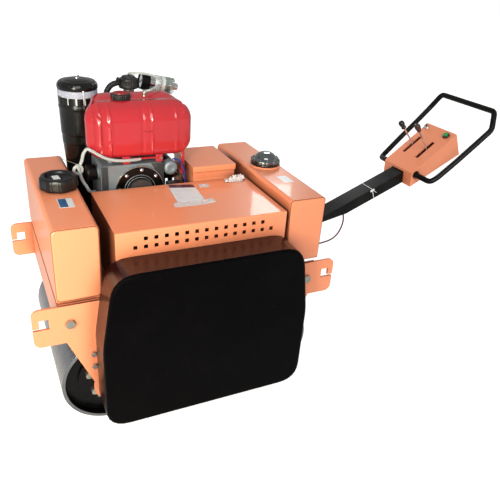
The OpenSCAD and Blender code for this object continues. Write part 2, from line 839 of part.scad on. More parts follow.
module gearbox_input_shaft() {
    color(steel) placed() bar_y(0, input_z, vib_belt_y - pulley_w / 2 - shaft_over,
                                engine_belt_y + pulley_w / 2 + shaft_over, input_r);
}
module input_pulleys() {
    color(iron) placed() translate([0, 0, input_z]) {
        pulley(vib_drive_r, vib_belt_y, input_r + run);
        pulley(input_pulley_r, engine_belt_y, input_r + run);
    }
}
module drive_shaft() {
    color(steel) placed() translate([0, 0, output_z]) {
        bar_y(0, 0, -stub_near, gear_y + gear_l - gear_wall + shaft_in, output_r);
        for (y = [row_front_y, row_rear_y]) slab(y, sprocket_t) sprocket_drawing(drive_teeth);
    }
}

// Travel chains. Two link strips beside the teeth, joined by rollers along the straight runs
link_half = 6;
link_t = 1.6;
link_gap = 1;
roller_r = 4.2;
module chain(s, y) {
    a = [0, output_z];
    b = [s * axle_x, drum_r];
    ra = pitch_r(drive_teeth);
    rb = pitch_r(drum_teeth);
    span = norm(b - a);
    turn = atan2(b[1] - a[1], b[0] - a[0]);
    lean = asin((rb - ra) / span);
    n = floor(span / chain_p / 2) - 1;
    first = (span - (n - 1) * 2 * chain_p) / 2;
    for (side = [-1, 1])
        slab(y + sprocket_t / 2 + side * (sprocket_t / 2 + link_gap + link_t / 2) - link_t / 2, link_t)
        difference() {
            polygon(belt(a, ra + link_half, b, rb + link_half, 16));
            polygon(belt(a, ra - link_half, b, rb - link_half, 16));
        }
    for (side = [-1, 1]) for (k = [0:n - 1]) let (
        d = first + 2 * chain_p * k,
        across = side * (ra + (rb - ra) * d / span) / cos(lean),
        p = a + [cos(turn), sin(turn)] * d + [-sin(turn), cos(turn)] * across)
        bar_y(p[0], p[1], y - link_gap - link_t / 2, y + sprocket_t + link_gap + link_t / 2, roller_r);
}
module travel_chains() {
    color(iron) placed() {
        chain(-1, row_front_y);
        chain(1, row_rear_y);
    }
}
module vibrator_belt() {
    color(black) placed() belt_ring([0, input_z], vib_drive_r, [-axle_x, drum_r], vib_r, vib_belt_y);
}
module engine_belt() {
    color(black) placed()
        belt_ring([crank_x, crank_z], crank_pulley_r, [0, input_z], input_pulley_r, engine_belt_y);
}

// Engine. Crankcase on its rails, with the finned head behind the fuel tank
engine_back = engine_y + case_w;
case_edge = 14;
head_x = -150;
head_l = 200;
head_w = 87;
head_top = 1085;
head_bridge_w = 33;
head_bridge_l = 140;
head_off = 2;
fin_n = 9;
fin_t = 5;
fin_out = 8;
tank_over_case = 23;
tank_bottom_z = case_top + tank_over_case;
fuel_x = -291;
fuel_y = 405;
boss_small_r = 12;
boss_x_shares = [0.2, 0.5];
boss_y_share = 0.3;
module crankcase() {
    color(silver) placed() difference() {
        union() {
            translate([case_x, engine_y, plate_top + rail_h]) {
                h = case_top - plate_top - rail_h;
                translate([0, 0, case_edge]) cube([case_l, case_w, h - 2 * case_edge]);
                translate([case_edge, 0, 0]) cube([case_l - 2 * case_edge, case_w, h]);
                for (x = [case_edge, case_l - case_edge]) for (z = [case_edge, h - case_edge])
                    bar_y(x, z, 0, case_w, case_edge);
                for (s = boss_x_shares) translate([case_l * s, case_w * boss_y_share, h - cut])
                    cylinder(r = boss_small_r, h = tank_bottom_z - case_top + cut);
            }
            // Bridge under the head, then the head with its fins
            translate([head_x, engine_back - head_bridge_w, case_top - cut])
                cube([head_bridge_l, head_bridge_w + head_w + head_off, tank_bottom_z - case_top - 2 * cut]);
            translate([head_x + fin_out, engine_back + head_off + fin_out, case_top])
                cube([head_l - 2 * fin_out, head_w - 2 * fin_out, head_top - case_top]);
            for (k = [0:fin_n]) translate([head_x, engine_back + head_off,
                    tank_bottom_z + (head_top - tank_bottom_z - fin_t) * k / fin_n])
                cube([head_l, head_w, fin_t]);
        }
        bar_y(crank_x, crank_z, engine_y - cut, engine_back + cut, crank_r + run);
    }
}

// Oil filter screwed to the crankcase's left side
filter_r = 30;
filter_l = 40;
filter_neck_r = 21;
filter_neck_l = 9;
filter_y = 450;
filter_z = 838;
filter_edge = 4;
module oil_filter() {
    end = filter_l + filter_neck_l;
    color(black) placed() translate([case_x, filter_y, filter_z]) rotate([0, -90, 0]) rotate_extrude()
        polygon([
            [0, 0], [filter_neck_r, 0], [filter_neck_r, filter_neck_l],
            [filter_r, filter_neck_l], [filter_r, end - filter_edge],
            [filter_r - filter_edge, end], [0, end]]);
}

// Round flange round the crankshaft with dome bolts
flange_h = 10;
dome_n = 8;
dome_pcd_r = 82;
dome_r = 9;
dome_turn = 5;
module crank_flange() {
    color(black) placed() translate([crank_x, 0, crank_z]) {
        difference() {
            bar_y(0, 0, engine_y - flange_h, engine_y, flange_r);
            bar_y(0, 0, engine_y - flange_h - cut, engine_y + cut, crank_r + run);
        }
        for (k = [0:dome_n - 1]) rotate([0, -dome_turn - 360 * k / dome_n, 0])
            translate([dome_pcd_r, engine_y - flange_h, 0]) difference() {
                sphere(dome_r);
                translate([-dome_r, cut, -dome_r]) cube(2 * dome_r);
            }
    }
}
fan_in = 12;
fan_l = 48;
fan_r = 86;
fan_hub_r = 34;
fan_disc_t = 14;
blade_n = 16;
blade_t = 3;
module crankshaft() {
    color(steel) placed() bar_y(crank_x, crank_z, engine_belt_y - pulley_w / 2 - shaft_over,
                                engine_back + fan_in + fan_l, crank_r);
}
module crank_pulley() {
    color(iron) placed() translate([crank_x, 0, crank_z])
        pulley(crank_pulley_r, engine_belt_y, crank_r + run);
}
module flywheel() {
    y0 = engine_back + fan_in;
    color(iron) placed() translate([crank_x, 0, crank_z]) difference() {
        union() {
            bar_y(0, 0, y0, y0 + fan_disc_t, fan_r);
            bar_y(0, 0, y0, y0 + fan_l, fan_hub_r);
            for (k = [0:blade_n - 1]) rotate([0, 360 * k / blade_n, 0])
                translate([fan_hub_r - blade_t, y0 + fan_disc_t / 2, -blade_t / 2])
                    cube([fan_r - fan_hub_r, fan_l - fan_disc_t, blade_t]);
        }
        bar_y(0, 0, y0 - cut, y0 + fan_l + cut, crank_r + run);
    }
}
shroud_r = 98;
shroud_t = 3;
shroud_l = 76;
shroud_hole_r = 56;
module fan_shroud() {
    color(black) placed() turned_y(crank_x, crank_z, engine_back) polygon([
        [shroud_r - shroud_t, 0], [shroud_r, 0], [shroud_r, shroud_l], [shroud_hole_r, shroud_l],
        [shroud_hole_r, shroud_l - shroud_t], [shroud_r - shroud_t, shroud_l - shroud_t]]);
}

// Guard that closes the far side behind the engine, notched for the fan's air and slotted for the rest
guard_t = 4;
guard_space = 6;
guard_half = tank_face - tank_l - gap;
guard_top = 766;
guard_corner = 20;
guard_slot_w = 12;
guard_slot_h = 90;
guard_slot_pitch = 34;
guard_slot_n = 7;
guard_slot_x = 60;
guard_slot_z = 600;
module far_guard() {
    color(black) placed() slab(frame_w - (plate_t + guard_t) / 2, guard_t) difference() {
        union() {
            translate([-guard_half, plate_top])
                square([2 * guard_half, guard_top - plate_top - guard_corner]);
            translate([guard_corner - guard_half, plate_top])
                square([2 * (guard_half - guard_corner), guard_top - plate_top]);
            for (side = [-1, 1]) translate([side * (guard_half - guard_corner), guard_top - guard_corner])
                circle(guard_corner);
        }
        translate([crank_x, crank_z]) circle(shroud_r + guard_space);
        for (i = [0:guard_slot_n - 1]) translate([guard_slot_x + i * guard_slot_pitch, guard_slot_z])
            square([guard_slot_w, guard_slot_h]);
    }
}

// Fuel tank, a pressed shell with round corners and a ridge along its back
fuel_t = 2.5;
fuel_neck_r = 24;
fuel_neck_t = 3;
fuel_neck_h = 14;
fuel_cap_x = -143;
fuel_cap_y = 500;
fitting_x = -50;
fitting_y = 505;
fitting_r = 7;
fitting_h = 12;
ridge_h = 18;
ridge_w = 22;
ridge_x0 = 76;
ridge_x1 = 70;
ridge_r = 16;
module round_disc(r, w, e) {
    rotate([-90, 0, 0]) rotate_extrude($fn = hull_fn + 8) polygon(concat(
        [[0, 0]], arc([r - e, e], e, -90, 0, 5), arc([r - e, w - e], e, 0, 90, 5), [[0, w]]));
}
fuel_front_w = 84;
fuel_taper = 28;
module fuel_discs(inset, taper, w) {
    for (x = [fuel_r + taper, fuel_l - fuel_r - taper]) for (z = [fuel_r, fuel_h - fuel_r])
        translate([x, inset, z]) round_disc(fuel_r - inset, w, fuel_edge_r - inset);
}
module fuel_shell(inset) {
    hull() {
        fuel_discs(inset, 0, fuel_front_w);
        fuel_discs(inset, fuel_taper, fuel_w - 2 * inset);
    }
}
module fuel_tank() {
    color(red) placed() translate([fuel_x, fuel_y, tank_bottom_z]) difference() {
        union() {
            fuel_shell(0);
            hull() for (x = [ridge_x0 + ridge_r, fuel_l - ridge_x1 - ridge_r])
                translate([x, fuel_w - ridge_w, fuel_h + ridge_h - ridge_r]) rotate([-90, 0, 0])
                    cylinder(r = ridge_r, h = ridge_w - ridge_r / 2, $fn = hull_fn);
            translate([fuel_cap_x - fuel_x, fuel_cap_y - fuel_y, fuel_h - fuel_t])
                cylinder(r = fuel_neck_r, h = fuel_neck_h + fuel_t);
            translate([fitting_x - fuel_x, fitting_y - fuel_y, fuel_h - fuel_t])
                cylinder(r = fitting_r, h = fitting_h + fuel_t);
        }
        fuel_shell(fuel_t);
        translate([fuel_cap_x - fuel_x, fuel_cap_y - fuel_y, fuel_h - 2 * fuel_t])
            cylinder(r = fuel_neck_r - fuel_neck_t, h = fuel_neck_h + 3 * fuel_t);
    }
}
module fuel_cap() {
    bore = fuel_neck_r + gap;
    color(black) placed() translate([fuel_cap_x, fuel_cap_y, tank_bottom_z + fuel_h + gap]) {
        rotate_extrude() polygon([
            [0, fuel_neck_h], [bore, fuel_neck_h], [bore, 0], [fuel_cap_r, 0],
            [fuel_cap_r, fuel_cap_h - lug_t], [fuel_cap_r - lug_t, fuel_cap_h], [0, fuel_cap_h]]);
        for (k = [0:lid_lugs - 1]) rotate([0, 0, 360 * k / lid_lugs])
            translate([fuel_cap_r - lug_t / 2, -lug_t, lug_t / 2])
                cube([lug_t, 2 * lug_t, fuel_cap_h - 2 * lug_t]);
    }
}

// Air cleaner with its clear bowl
cleaner_foot_z = 770;
cleaner_foot_r = 20;
cleaner_waist_z = 828;
cleaner_low_r = 63;
band_h = 26;
cap_h = 44;
cap_edge = 16;
seat = 6;
spigot_out = 12;
hose_r = 11;
spigot_z = 1045;
module air_cleaner() {
    cap_z = cleaner_top - cap_h;
    band_z = cap_z - 2 * band_h;
    neck = cleaner_r - 2 * seat;
    color(black) placed() translate([cleaner_x, cleaner_y, 0]) {
        rotate_extrude() polygon([
            [0, plate_top], [2 * cleaner_foot_r, plate_top], [2 * cleaner_foot_r, plate_top + seat],
            [cleaner_foot_r, plate_top + seat], [cleaner_foot_r, cleaner_foot_z],
            [cleaner_low_r - seat, cleaner_foot_z], [cleaner_low_r, cleaner_foot_z + seat],
            [cleaner_low_r, cleaner_waist_z], [cleaner_r, band_z - seat], [cleaner_r, band_z + band_h],
            [neck, band_z + band_h], [neck, cap_z], [cleaner_r, cap_z],
            [cleaner_r, cleaner_top - cap_edge], [cleaner_r - cap_edge, cleaner_top - seat / 2],
            [0, cleaner_top]]);
        bar_x(0, spigot_z, 0, cleaner_r + spigot_out, hose_r + 2 * run);
    }
}
module air_cleaner_bowl() {
    cap_z = cleaner_top - cap_h;
    color(clear) placed() translate([cleaner_x, cleaner_y, cap_z - band_h]) rotate_extrude()
        translate([cleaner_r - 2 * seat + run, 0]) square([2 * seat - run - gap, band_h]);
}

// Intake elbow cap on its pipe, and the hose from the air cleaner
elbow_x = -76;
elbow_y = 635;
elbow_r = 40;
elbow_z = 1115;
elbow_top = 1157;
elbow_pipe_r = 22;
hose_route = [[-172, 638, 1045], [-168, 637, 1094], [-146, 636, 1125], [-110, 635, 1133]];
module intake_hose() {
    color(black) placed() {
        translate([elbow_x, elbow_y, 0]) rotate_extrude() polygon([
            [0, head_top], [elbow_pipe_r, head_top], [elbow_pipe_r, elbow_z], [elbow_r, elbow_z],
            [elbow_r, elbow_top - seat], [elbow_r - seat, elbow_top], [0, elbow_top]]);
        start = [cleaner_x + cleaner_r + spigot_out + gap, cleaner_y, spigot_z];
        tube(rounded_path(concat([start], hose_route), 3 * hose_r / 2, 5), hose_r, 12, [0, 1, 0]);
    }
}

// Silencer along the machine, over the head
muffler_x = -34;
muffler_y = 635;
muffler_z = 1131;
muffler_t = 2;
outlet_l = 30;
outlet_r = 15;
outlet_t = 2.5;
down_r = 14;
down_x_share = 0.4;
module silencer() {
    end = muffler_x + muffler_l;
    color(silver) placed() difference() {
        union() {
            bar_x(muffler_y, muffler_z, muffler_x, end, muffler_r);
            bar_x(muffler_y, muffler_z, end - cut, end + outlet_l, outlet_r);
            translate([muffler_x + muffler_l * down_x_share, muffler_y, head_top])
                cylinder(r = down_r, h = muffler_z - muffler_r - head_top + muffler_t);
        }
        bar_x(muffler_y, muffler_z, muffler_x + muffler_t, end - muffler_t, muffler_r - muffler_t);
        bar_x(muffler_y, muffler_z, end - 2 * muffler_t, end + outlet_l + cut, outlet_r - outlet_t);
    }
}

// Starter motor beside the crankcase
starter_r = 30;
starter_z = 842;
starter_y = 430;
starter_l = 136;
starter_nose = 26;
solenoid_r = 18;
solenoid_in = 20;
module starter_motor() {
    x = case_x + case_l + starter_r + gap;
    color(black) placed() {
        bar_y(x, starter_z, starter_y, starter_y + starter_l, starter_r);
        bar_y(x, starter_z, starter_y - starter_nose, starter_y + cut, starter_r * 2 / 3);
        bar_y(x + starter_r, starter_z - starter_r - solenoid_r / 3, starter_y + solenoid_in,
              starter_y + starter_l - solenoid_in, solenoid_r);
        translate([case_x + case_l, starter_y, starter_z - starter_r / 2])
            cube([starter_r, starter_nose, starter_r]);
    }
}

// Fuel return hose from the tank's fitting to the head
fuel_hose_r = 4;
fuel_route = [[-50, 505, 1138], [-38, 530, 1152], [-20, 565, 1140], [-6, 590, 1118]];
fuel_end = [-6, 590];
module fuel_hose() {
    color(clear) placed() tube(rounded_path(concat(
        [[fitting_x, fitting_y, tank_bottom_z + fuel_h + fitting_h + gap]], fuel_route,
        [[fuel_end[0], fuel_end[1], head_top + gap]]),
        fuel_hose_r * 3, 4), fuel_hose_r, 8, [1, 0, 0]);
}

// Scrapers and spray bars between the side plates
scraper_t = 6;
scraper_w = 50;
scraper_off = 1.5;
scraper_turn = 40;
module scrapers() {
    color(steel) placed() both_ends() translate([-axle_x, plate_t, drum_r]) rotate([0, -scraper_turn, 0])
        translate([drum_r + scraper_off, 0, -scraper_t / 2]) cube([scraper_w, inner_w, scraper_t]);
}
module spray_bars() {
    z = 2 * drum_r + spray_up + spray_r;
    color(steel) placed() both_ends() {
        bar_y(-spray_x, z, plate_t, frame_w - plate_t, spray_r);
        translate([-spray_x, spray_y, z]) cylinder(r = spray_pipe_r, h = tank_bottom - z);
    }
}

// Handle bracket on the rear cross beam, with the stop under the pole
ear_r = 52;
ear_t = 10;
ear_gap = 0.5;
ear_half_h = 45;
stop_r = 8;
stop_u = 36;
taper_v = -1;
taper_u0 = 200;
taper_u1 = 325;
module ear() {
    difference() {
        union() {
            circle(ear_r);
            translate([-pivot_out, -ear_half_h]) square([pivot_out, 2 * ear_half_h]);
        }
        circle(pin_r + run);
    }
}
module handle_bracket() {
    half = pole_w / 2 + ear_gap;
    color(orange) placed() translate([pivot_x, handle_y, pivot_z]) {
        for (s = [0, 1]) mirror([0, s, 0]) slab(half, ear_t) ear();
        rotate([0, -handle_pitch, 0])
            bar_y(stop_u, taper_v - stop_r - gap, -half - cut, half + cut, stop_r);
    }
}
pin_head_r = 16;
pin_head_h = 6;
module handle_pin() {
    l = pole_w / 2 + ear_gap + ear_t;
    color(steel) placed() translate([pivot_x, handle_y, pivot_z]) {
        bar_y(0, 0, -l - pin_head_h / 2, l + pin_head_h / 2, pin_r);
        for (s = [0, 1]) mirror([0, s, 0]) bar_y(0, 0, l, l + pin_head_h, pin_head_r);
    }
}

// Pole, a box section with a round end at its pivot and a hollow from there on
pole_solid = 60;
gland_r = 7;
gland_h = 6;
gland_u = 318;
gland_w = -20;
module pole_outline() {
    v = pole_h / 2;
    polygon(concat(arc([0, 0], v, 90, 360 + asin(taper_v / v), 22), [
        [taper_u0, taper_v], [taper_u1, -v], [pole_len, -v], [pole_len, v]]));
}
module pole_hollow() {
    v = pole_h / 2 - pole_t;
    polygon([[pole_solid, v], [pole_solid, taper_v + pole_t], [taper_u0, taper_v + pole_t], [taper_u1, -v],
             [pole_len + cut, -v], [pole_len + cut, v]]);
}
module handle_pole() {
    color(black) placed() handle_frame() difference() {
        union() {
            slab(-pole_w / 2, pole_w) pole_outline();
            translate([gland_u, gland_w, -pole_h / 2 - gland_h]) cylinder(r = gland_r, h = 2 * gland_h);
        }
        slab(-pole_w / 2 + pole_t, pole_w - 2 * pole_t) pole_hollow();
        bar_y(0, 0, -pole_w / 2 - cut, pole_w / 2 + cut, pin_r + run);
    }
}

// Handle loop, one bent tube welded to both sides of the pole
loop_u = 685;
loop_v = 20;
loop_bend = 34;
loop_side_shares = [[0, 0.645, 0], [0.025, 0.88, -0.08], [0.11, 0.92, -0.04], [0.36, 0.955, 0.175],
                    [0.645, 0.98, 0.425], [0.87, 1, 0.63]];
loop_side = concat(
    [for (s = loop_side_shares)
        [loop_u + (bar_u - loop_u) * s[0], loop_half * s[1], loop_v + (bar_v - loop_v) * s[2]]],
    [[bar_u, bar_half, bar_v]]);
module handle_loop() {
    n = len(loop_side) - 1;
    route = concat(
        [[loop_u, pole_w / 2, loop_v]], loop_side,
        [for (i = [n:-1:0]) [loop_side[i][0], -loop_side[i][1], loop_side[i][2]]],
        [[loop_u, -pole_w / 2, loop_v]]);
    color(black) placed() handle_frame() tube(rounded_path(route, loop_bend / 2, 4), loop_r, 16, [0, 0, 1]);
}

// Control box, a folded sheet case open at the bottom
box_u = 664.2;
box_v = 39.5;
box_tilt = box_pitch - handle_pitch;
console_back = 24;
console_deep = 107;
console_front = 36;
console_front_deep = 57;
console_cut = 43;
console_rim = 10;
slot_u = 137;
slot_w = 15;
travel_w = 55;
throttle_w = -36;
lever_u = 147;
lever_v = -60;
lever_shaft_r = 5;
button_u = 249;
button_w = -60;
bezel_r = 15;
bezel_h = 5;
key_u = 253;
key_w = 78;
key_r = 12;
key_stem_r = 7;
rib_u = 700;
rib_l = 60;
rib_w = 22;
rib_t = 4;
module box_frame() { handle_frame() translate([box_u, 0, box_v]) rotate([0, -box_tilt, 0]) children(); }
module console_drawing() {
    polygon([[0, 0], [console_l, 0], [console_l - console_back, -console_deep],
             [-console_front, -console_front_deep]]);
}
// The case's inside, drawn in by the sheet but open at the bottom
module console_inside() {
    t = console_t;
    polygon([[t, -t], [console_l - t, -t], [console_l - console_back - t, -console_deep - cut],
             [console_l - console_back - t, -console_deep - console_deep],
             [-console_front, -console_deep - console_deep],
             [-console_front + t, -console_front_deep]]);
}
module slot_hole(w) {
    translate([slot_u, w, 0]) cube([slot_l, slot_w, 3 * console_t], center = true);
}
module control_box() {
    color(orange) placed() {
        difference() {
            union() {
                box_frame() difference() {
                    slab(-console_w / 2, console_w) console_drawing();
                    slab(-console_w / 2 + console_t, console_w - 2 * console_t) console_inside();
                    translate([-console_front - cut, -console_cut, -console_deep])
                        cube([console_front + 2 * console_cut, 2 * console_cut, console_deep - console_rim]);
                    slot_hole(travel_w);
                    slot_hole(throttle_w);
                }
                box_frame() translate([button_u, button_w, -console_t])
                    cylinder(r = bezel_r, h = console_t + bezel_h);
            }
            box_frame() translate([button_u, button_w, -2 * console_t])
                cylinder(r = button_r + run, h = 2 * console_t + bezel_h + cut);
            box_frame() translate([key_u, key_w, -2 * console_t])
                cylinder(r = key_stem_r + run, h = 3 * console_t);
            handle_frame() bar_y(loop_u, loop_v, -console_w, console_w, loop_r + 2 * cut + gap);
        }
        // Shaft of the two levers between the sides
        box_frame() bar_y(lever_u, lever_v, (console_t - console_w) / 2, (console_w - console_t) / 2,
                          lever_shaft_r);
        // Ribs that carry the case on the pole
        handle_frame() for (s = [-1, 1]) slab(s * rib_w - rib_t / 2, rib_t) polygon([
            [rib_u, pole_h / 2], [rib_u + rib_l, pole_h / 2],
            [rib_u + rib_l, box_v + (rib_u + rib_l - box_u) * tan(box_tilt) - console_t],
            [rib_u, box_v + (rib_u - box_u) * tan(box_tilt) - console_t]]);
    }
}

// Levers with their knobs
lever_hub_r = 11;
lever_hub_w = 12;
travel_lean = -5;
travel_color = [0.16, 0.05, 0.05];
module lever_frame(w, lean) {
    box_frame() translate([lever_u, w, lever_v]) rotate([0, -lean, 0]) children();
}
module lever(w, lean) {
    color(steel) placed() lever_frame(w, lean) difference() {
        union() {
            bar_y(0, 0, -lever_hub_w / 2, lever_hub_w / 2, lever_hub_r);
            cylinder(r = rod_r, h = lever_l);
        }
        bar_y(0, 0, -lever_hub_w, lever_hub_w, lever_shaft_r + run);
    }
}
knob_foot_share = 0.6;
knob_round_share = 0.3;
knob_seat = 6;
module knob(w, lean, c) {
    color(c) placed() lever_frame(w, lean) translate([0, 0, lever_l - knob_seat])
        rotate_extrude() polygon(concat(
        [[0, knob_seat], [rod_r + run, knob_seat], [rod_r + run, 0], [knob_r * knob_foot_share, 0]],
        [[knob_r, knob_l * knob_round_share], [knob_r, knob_l * (1 - knob_round_share)]],
        arc([0, knob_l - knob_r], knob_r, 15, 90, 6)));
}
module travel_lever() { lever(travel_w, -travel_lean); }
module travel_knob() { knob(travel_w, -travel_lean, black); }
module throttle_lever() { lever(throttle_w, 0); }
module throttle_knob() { knob(throttle_w, 0, travel_color); }

button_green = [0.1, 0.5, 0.25];
button_top = 10;
button_depth = 14;
module start_button() {
    color(button_green) placed() box_frame() translate([button_u, button_w, -button_depth])
        cylinder(r = button_r, h = button_depth + button_top);
}
key_h = 6;
key_depth = 10;
blade_l = 16;
blade_h = 12;
blade_w = 4;
module key_switch() {
    color(silver) placed() box_frame() translate([key_u, key_w, 0]) {
        translate([0, 0, gap]) cylinder(r = key_r, h = key_h);
        translate([0, 0, -key_depth]) cylinder(r = key_stem_r, h = key_depth + key_h / 2);
        translate([-blade_l / 2, -blade_w / 2, key_h / 2]) cube([blade_l, blade_w, key_h / 2 + blade_h]);
    }
}

// Control cable from the pole's underside to the rear cross beam, hanging free between them
cable_r = 3.5;
cable_end = [280, 485];
cable_route = [
    [850.2, 333, 557.7], [853, 332, 530], [847, 331, 500], [833, 330, 472], [811, 330, 450], [780, 330, 438],
    [735, 328, 433], [690, 322, 432], [640, 309, 435], [590, 293, 443], [545, 284, 455], [500, 281, 471],
    [464, 280, 485]];
function smooth(p, i, s) =
    let (last = len(p) - 1, a = p[max(i - 1, 0)], b = p[i], c = p[min(i + 1, last)],
         d = p[min(i + 2, last)])
    (b * 2 + (c - a) * s + (a * 2 - b * 5 + c * 4 - d) * s * s + (b * 3 - a - c * 3 + d) * s * s * s) / 2;
cable_steps = 3;
cable_gap = 0.8;
module control_cable() {
    gland = [pivot_x + gland_u * cos(handle_pitch) + (pole_h / 2 + gland_h + cable_gap) * sin(handle_pitch),
             handle_y + gland_w,
             pivot_z + gland_u * sin(handle_pitch) - (pole_h / 2 + gland_h + cable_gap) * cos(handle_pitch)];
    route = concat([gland], cable_route, [[beam_x + beam_w + cable_gap, cable_end[0], cable_end[1]]]);
    path = concat(
        [for (i = [0:len(route) - 2]) for (k = [0:cable_steps - 1]) smooth(route, i, k / cable_steps)],
        [route[len(route) - 1]]);
    color(black) placed() tube(path, cable_r, 8, [0, 1, 0]);
}

near_side_plate();
far_side_plate();
front_cross_plate();
rear_cross_beam();
deck_plate();
mounting_rails();
front_water_tank();
rear_water_tank();
front_tank_lid();
rear_tank_lid();
hood();
battery_box();
battery();
drive_cover();
bearing_units();
frame_bolts();
front_drum();
front_drum_hubs();
front_drum_sprocket();
rear_drum();
rear_drum_hubs();
rear_drum_sprocket();
vibrator_shaft();
gearbox();
gearbox_input_shaft();
input_pulleys();
drive_shaft();
travel_chains();
vibrator_belt();
engine_belt();
crankcase();
oil_filter();
crank_flange();
crankshaft();
crank_pulley();
flywheel();
fan_shroud();
far_guard();
fuel_tank();
fuel_cap();
air_cleaner();
air_cleaner_bowl();
intake_hose();
silencer();
starter_motor();
fuel_hose();
scrapers();
spray_bars();
handle_bracket();
handle_pin();
handle_pole();
handle_loop();
control_box();
travel_lever();
travel_knob();
throttle_lever();
throttle_knob();
start_button();
key_switch();
control_cable();
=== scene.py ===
"""Looks of the walk-behind double-drum roller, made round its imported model.

Places are in millimetres from the middle of the wheelbase, the near side plate's outer face and the
ground, as in the part's source. place() turns them into the frame's metres.
"""

from math import cos, degrees, exp, hypot, radians, sin, sqrt, tanh, tau

import bmesh
import bpy
from mathutils import Matrix, Vector, noise


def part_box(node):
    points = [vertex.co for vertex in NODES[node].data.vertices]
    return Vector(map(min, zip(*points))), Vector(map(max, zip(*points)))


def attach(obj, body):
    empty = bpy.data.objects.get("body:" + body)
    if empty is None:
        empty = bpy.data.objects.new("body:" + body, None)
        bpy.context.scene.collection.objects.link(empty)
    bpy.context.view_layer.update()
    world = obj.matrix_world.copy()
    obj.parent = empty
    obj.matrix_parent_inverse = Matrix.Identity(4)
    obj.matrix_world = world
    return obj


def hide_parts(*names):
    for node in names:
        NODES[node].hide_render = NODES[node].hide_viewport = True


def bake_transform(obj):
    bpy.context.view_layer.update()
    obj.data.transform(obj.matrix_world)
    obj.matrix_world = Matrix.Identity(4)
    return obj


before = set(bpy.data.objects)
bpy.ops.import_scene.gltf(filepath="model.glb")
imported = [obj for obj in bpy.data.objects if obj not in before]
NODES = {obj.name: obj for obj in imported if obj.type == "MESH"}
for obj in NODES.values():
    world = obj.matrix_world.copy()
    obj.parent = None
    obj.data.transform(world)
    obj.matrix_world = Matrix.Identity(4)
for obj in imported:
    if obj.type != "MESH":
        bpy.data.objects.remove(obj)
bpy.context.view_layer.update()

SCENE = bpy.context.scene
ROOT = "frame"
MM = 0.001
side_low, side_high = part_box("near_side_plate")
X0, Y0 = (side_low.x + side_high.x) / 2, side_low.y
UP, NEAR, FAR, RIGHT, LEFT = (0, 0, 1), (0, -1, 0), (0, 1, 0), (1, 0, 0), (-1, 0, 0)


def place(p):
    return Vector((X0 + p[0] * MM, Y0 + p[1] * MM, p[2] * MM))


def moved(x, y, z):
    return Matrix.Translation((x, y, z))


def turned(angle, axis="Y"):
    return Matrix.Rotation(radians(angle), 4, axis)


def at(x, y, z, axis=UP, turn=0.0):
    """A matrix that puts a shape's own Z along axis at a place, turned about it by degrees."""
    facing = Vector(axis).to_track_quat("Z", "Y").to_matrix().to_4x4()
    return moved(x, y, z) @ facing @ turned(turn, "Z")


def around(r, angle, z, turn=0.0):
    """A matrix at an angle in radians on a circle round the axis, with its x pointing out."""
    return at(r * cos(angle), r * sin(angle), z, turn=degrees(angle) + turn)


def tilted(x, y, z, angle):
    return moved(x, y, z) @ turned(-angle)


# Places in mm that several pieces share: drum axes, hubs, crankshaft, the drive cover's rim, the
# middle across, fuel filler and spout, and the tops of the hood, the tanks and the engine's deck
DRUM_X, DRUM_Z, DISC_R = 327, 180, 168
HUB_R, HUB_BORE, HUB_ENDS = 82, 66, (47.5, 642.5)
CRANK_X, CRANK_Z = -103, 768
COVER_RIM_Y, MIDDLE_Y = -115.5, 345
FILLER, SPOUT = (-143, 500), (-50, 505)
HOOD_TOP, TANK_TOP, DECK = 792.1, 831.05, 1085.3

# The handle's own axes are u along the pole, w across and v up. The control box tilts on it.
HANDLE = tilted(540, 353, 475, 22.8)
BOX = HANDLE @ tilted(664.2, 0, 39.5, 14.6)

# Camera at the photograph's viewing angle
CAMERA_AT = (-660.2, -1614.2, 1619.0)
YAW, PITCH, ROLL = 0.464027, -0.485364, 0.072332
FOCAL, CENTRE, IMAGE, SENSOR = 562.08, (238.34, 248.63), 500, 36


def add_camera():
    d = Vector((sin(YAW) * cos(PITCH), cos(YAW) * cos(PITCH), sin(PITCH)))
    r = d.cross(Vector(UP)).normalized()
    u = r.cross(d)
    r, u = cos(ROLL) * r + sin(ROLL) * u, cos(ROLL) * u - sin(ROLL) * r
    data = bpy.data.cameras.new("camera")
    data.sensor_width = SENSOR
    data.lens = FOCAL / IMAGE * SENSOR
    data.shift_x = (IMAGE / 2 - CENTRE[0]) / IMAGE
    data.shift_y = (CENTRE[1] - IMAGE / 2) / IMAGE
    data.clip_end = 60
    camera = bpy.data.objects.new("camera", data)
    facing = Matrix((r, u, -d)).transposed().to_4x4()
    camera.matrix_world = Matrix.Translation(place(CAMERA_AT)) @ facing
    SCENE.collection.objects.link(camera)
    SCENE.camera = camera


add_camera()


# Materials. One builder makes them all: two tones of the colour, a fine grain in gloss and height,
# soft edges, wear and a painted highlight along them, dust, specks, brushing, and painted shade
# in corners.
def lin(*rgb):
    """Linear colour from sRGB values of 0 to 255."""
    shares = [c / 255 for c in rgb]
    return tuple(c / 12.92 if c <= 0.04045 else ((c + 0.055) / 1.055) ** 2.4 for c in shares)


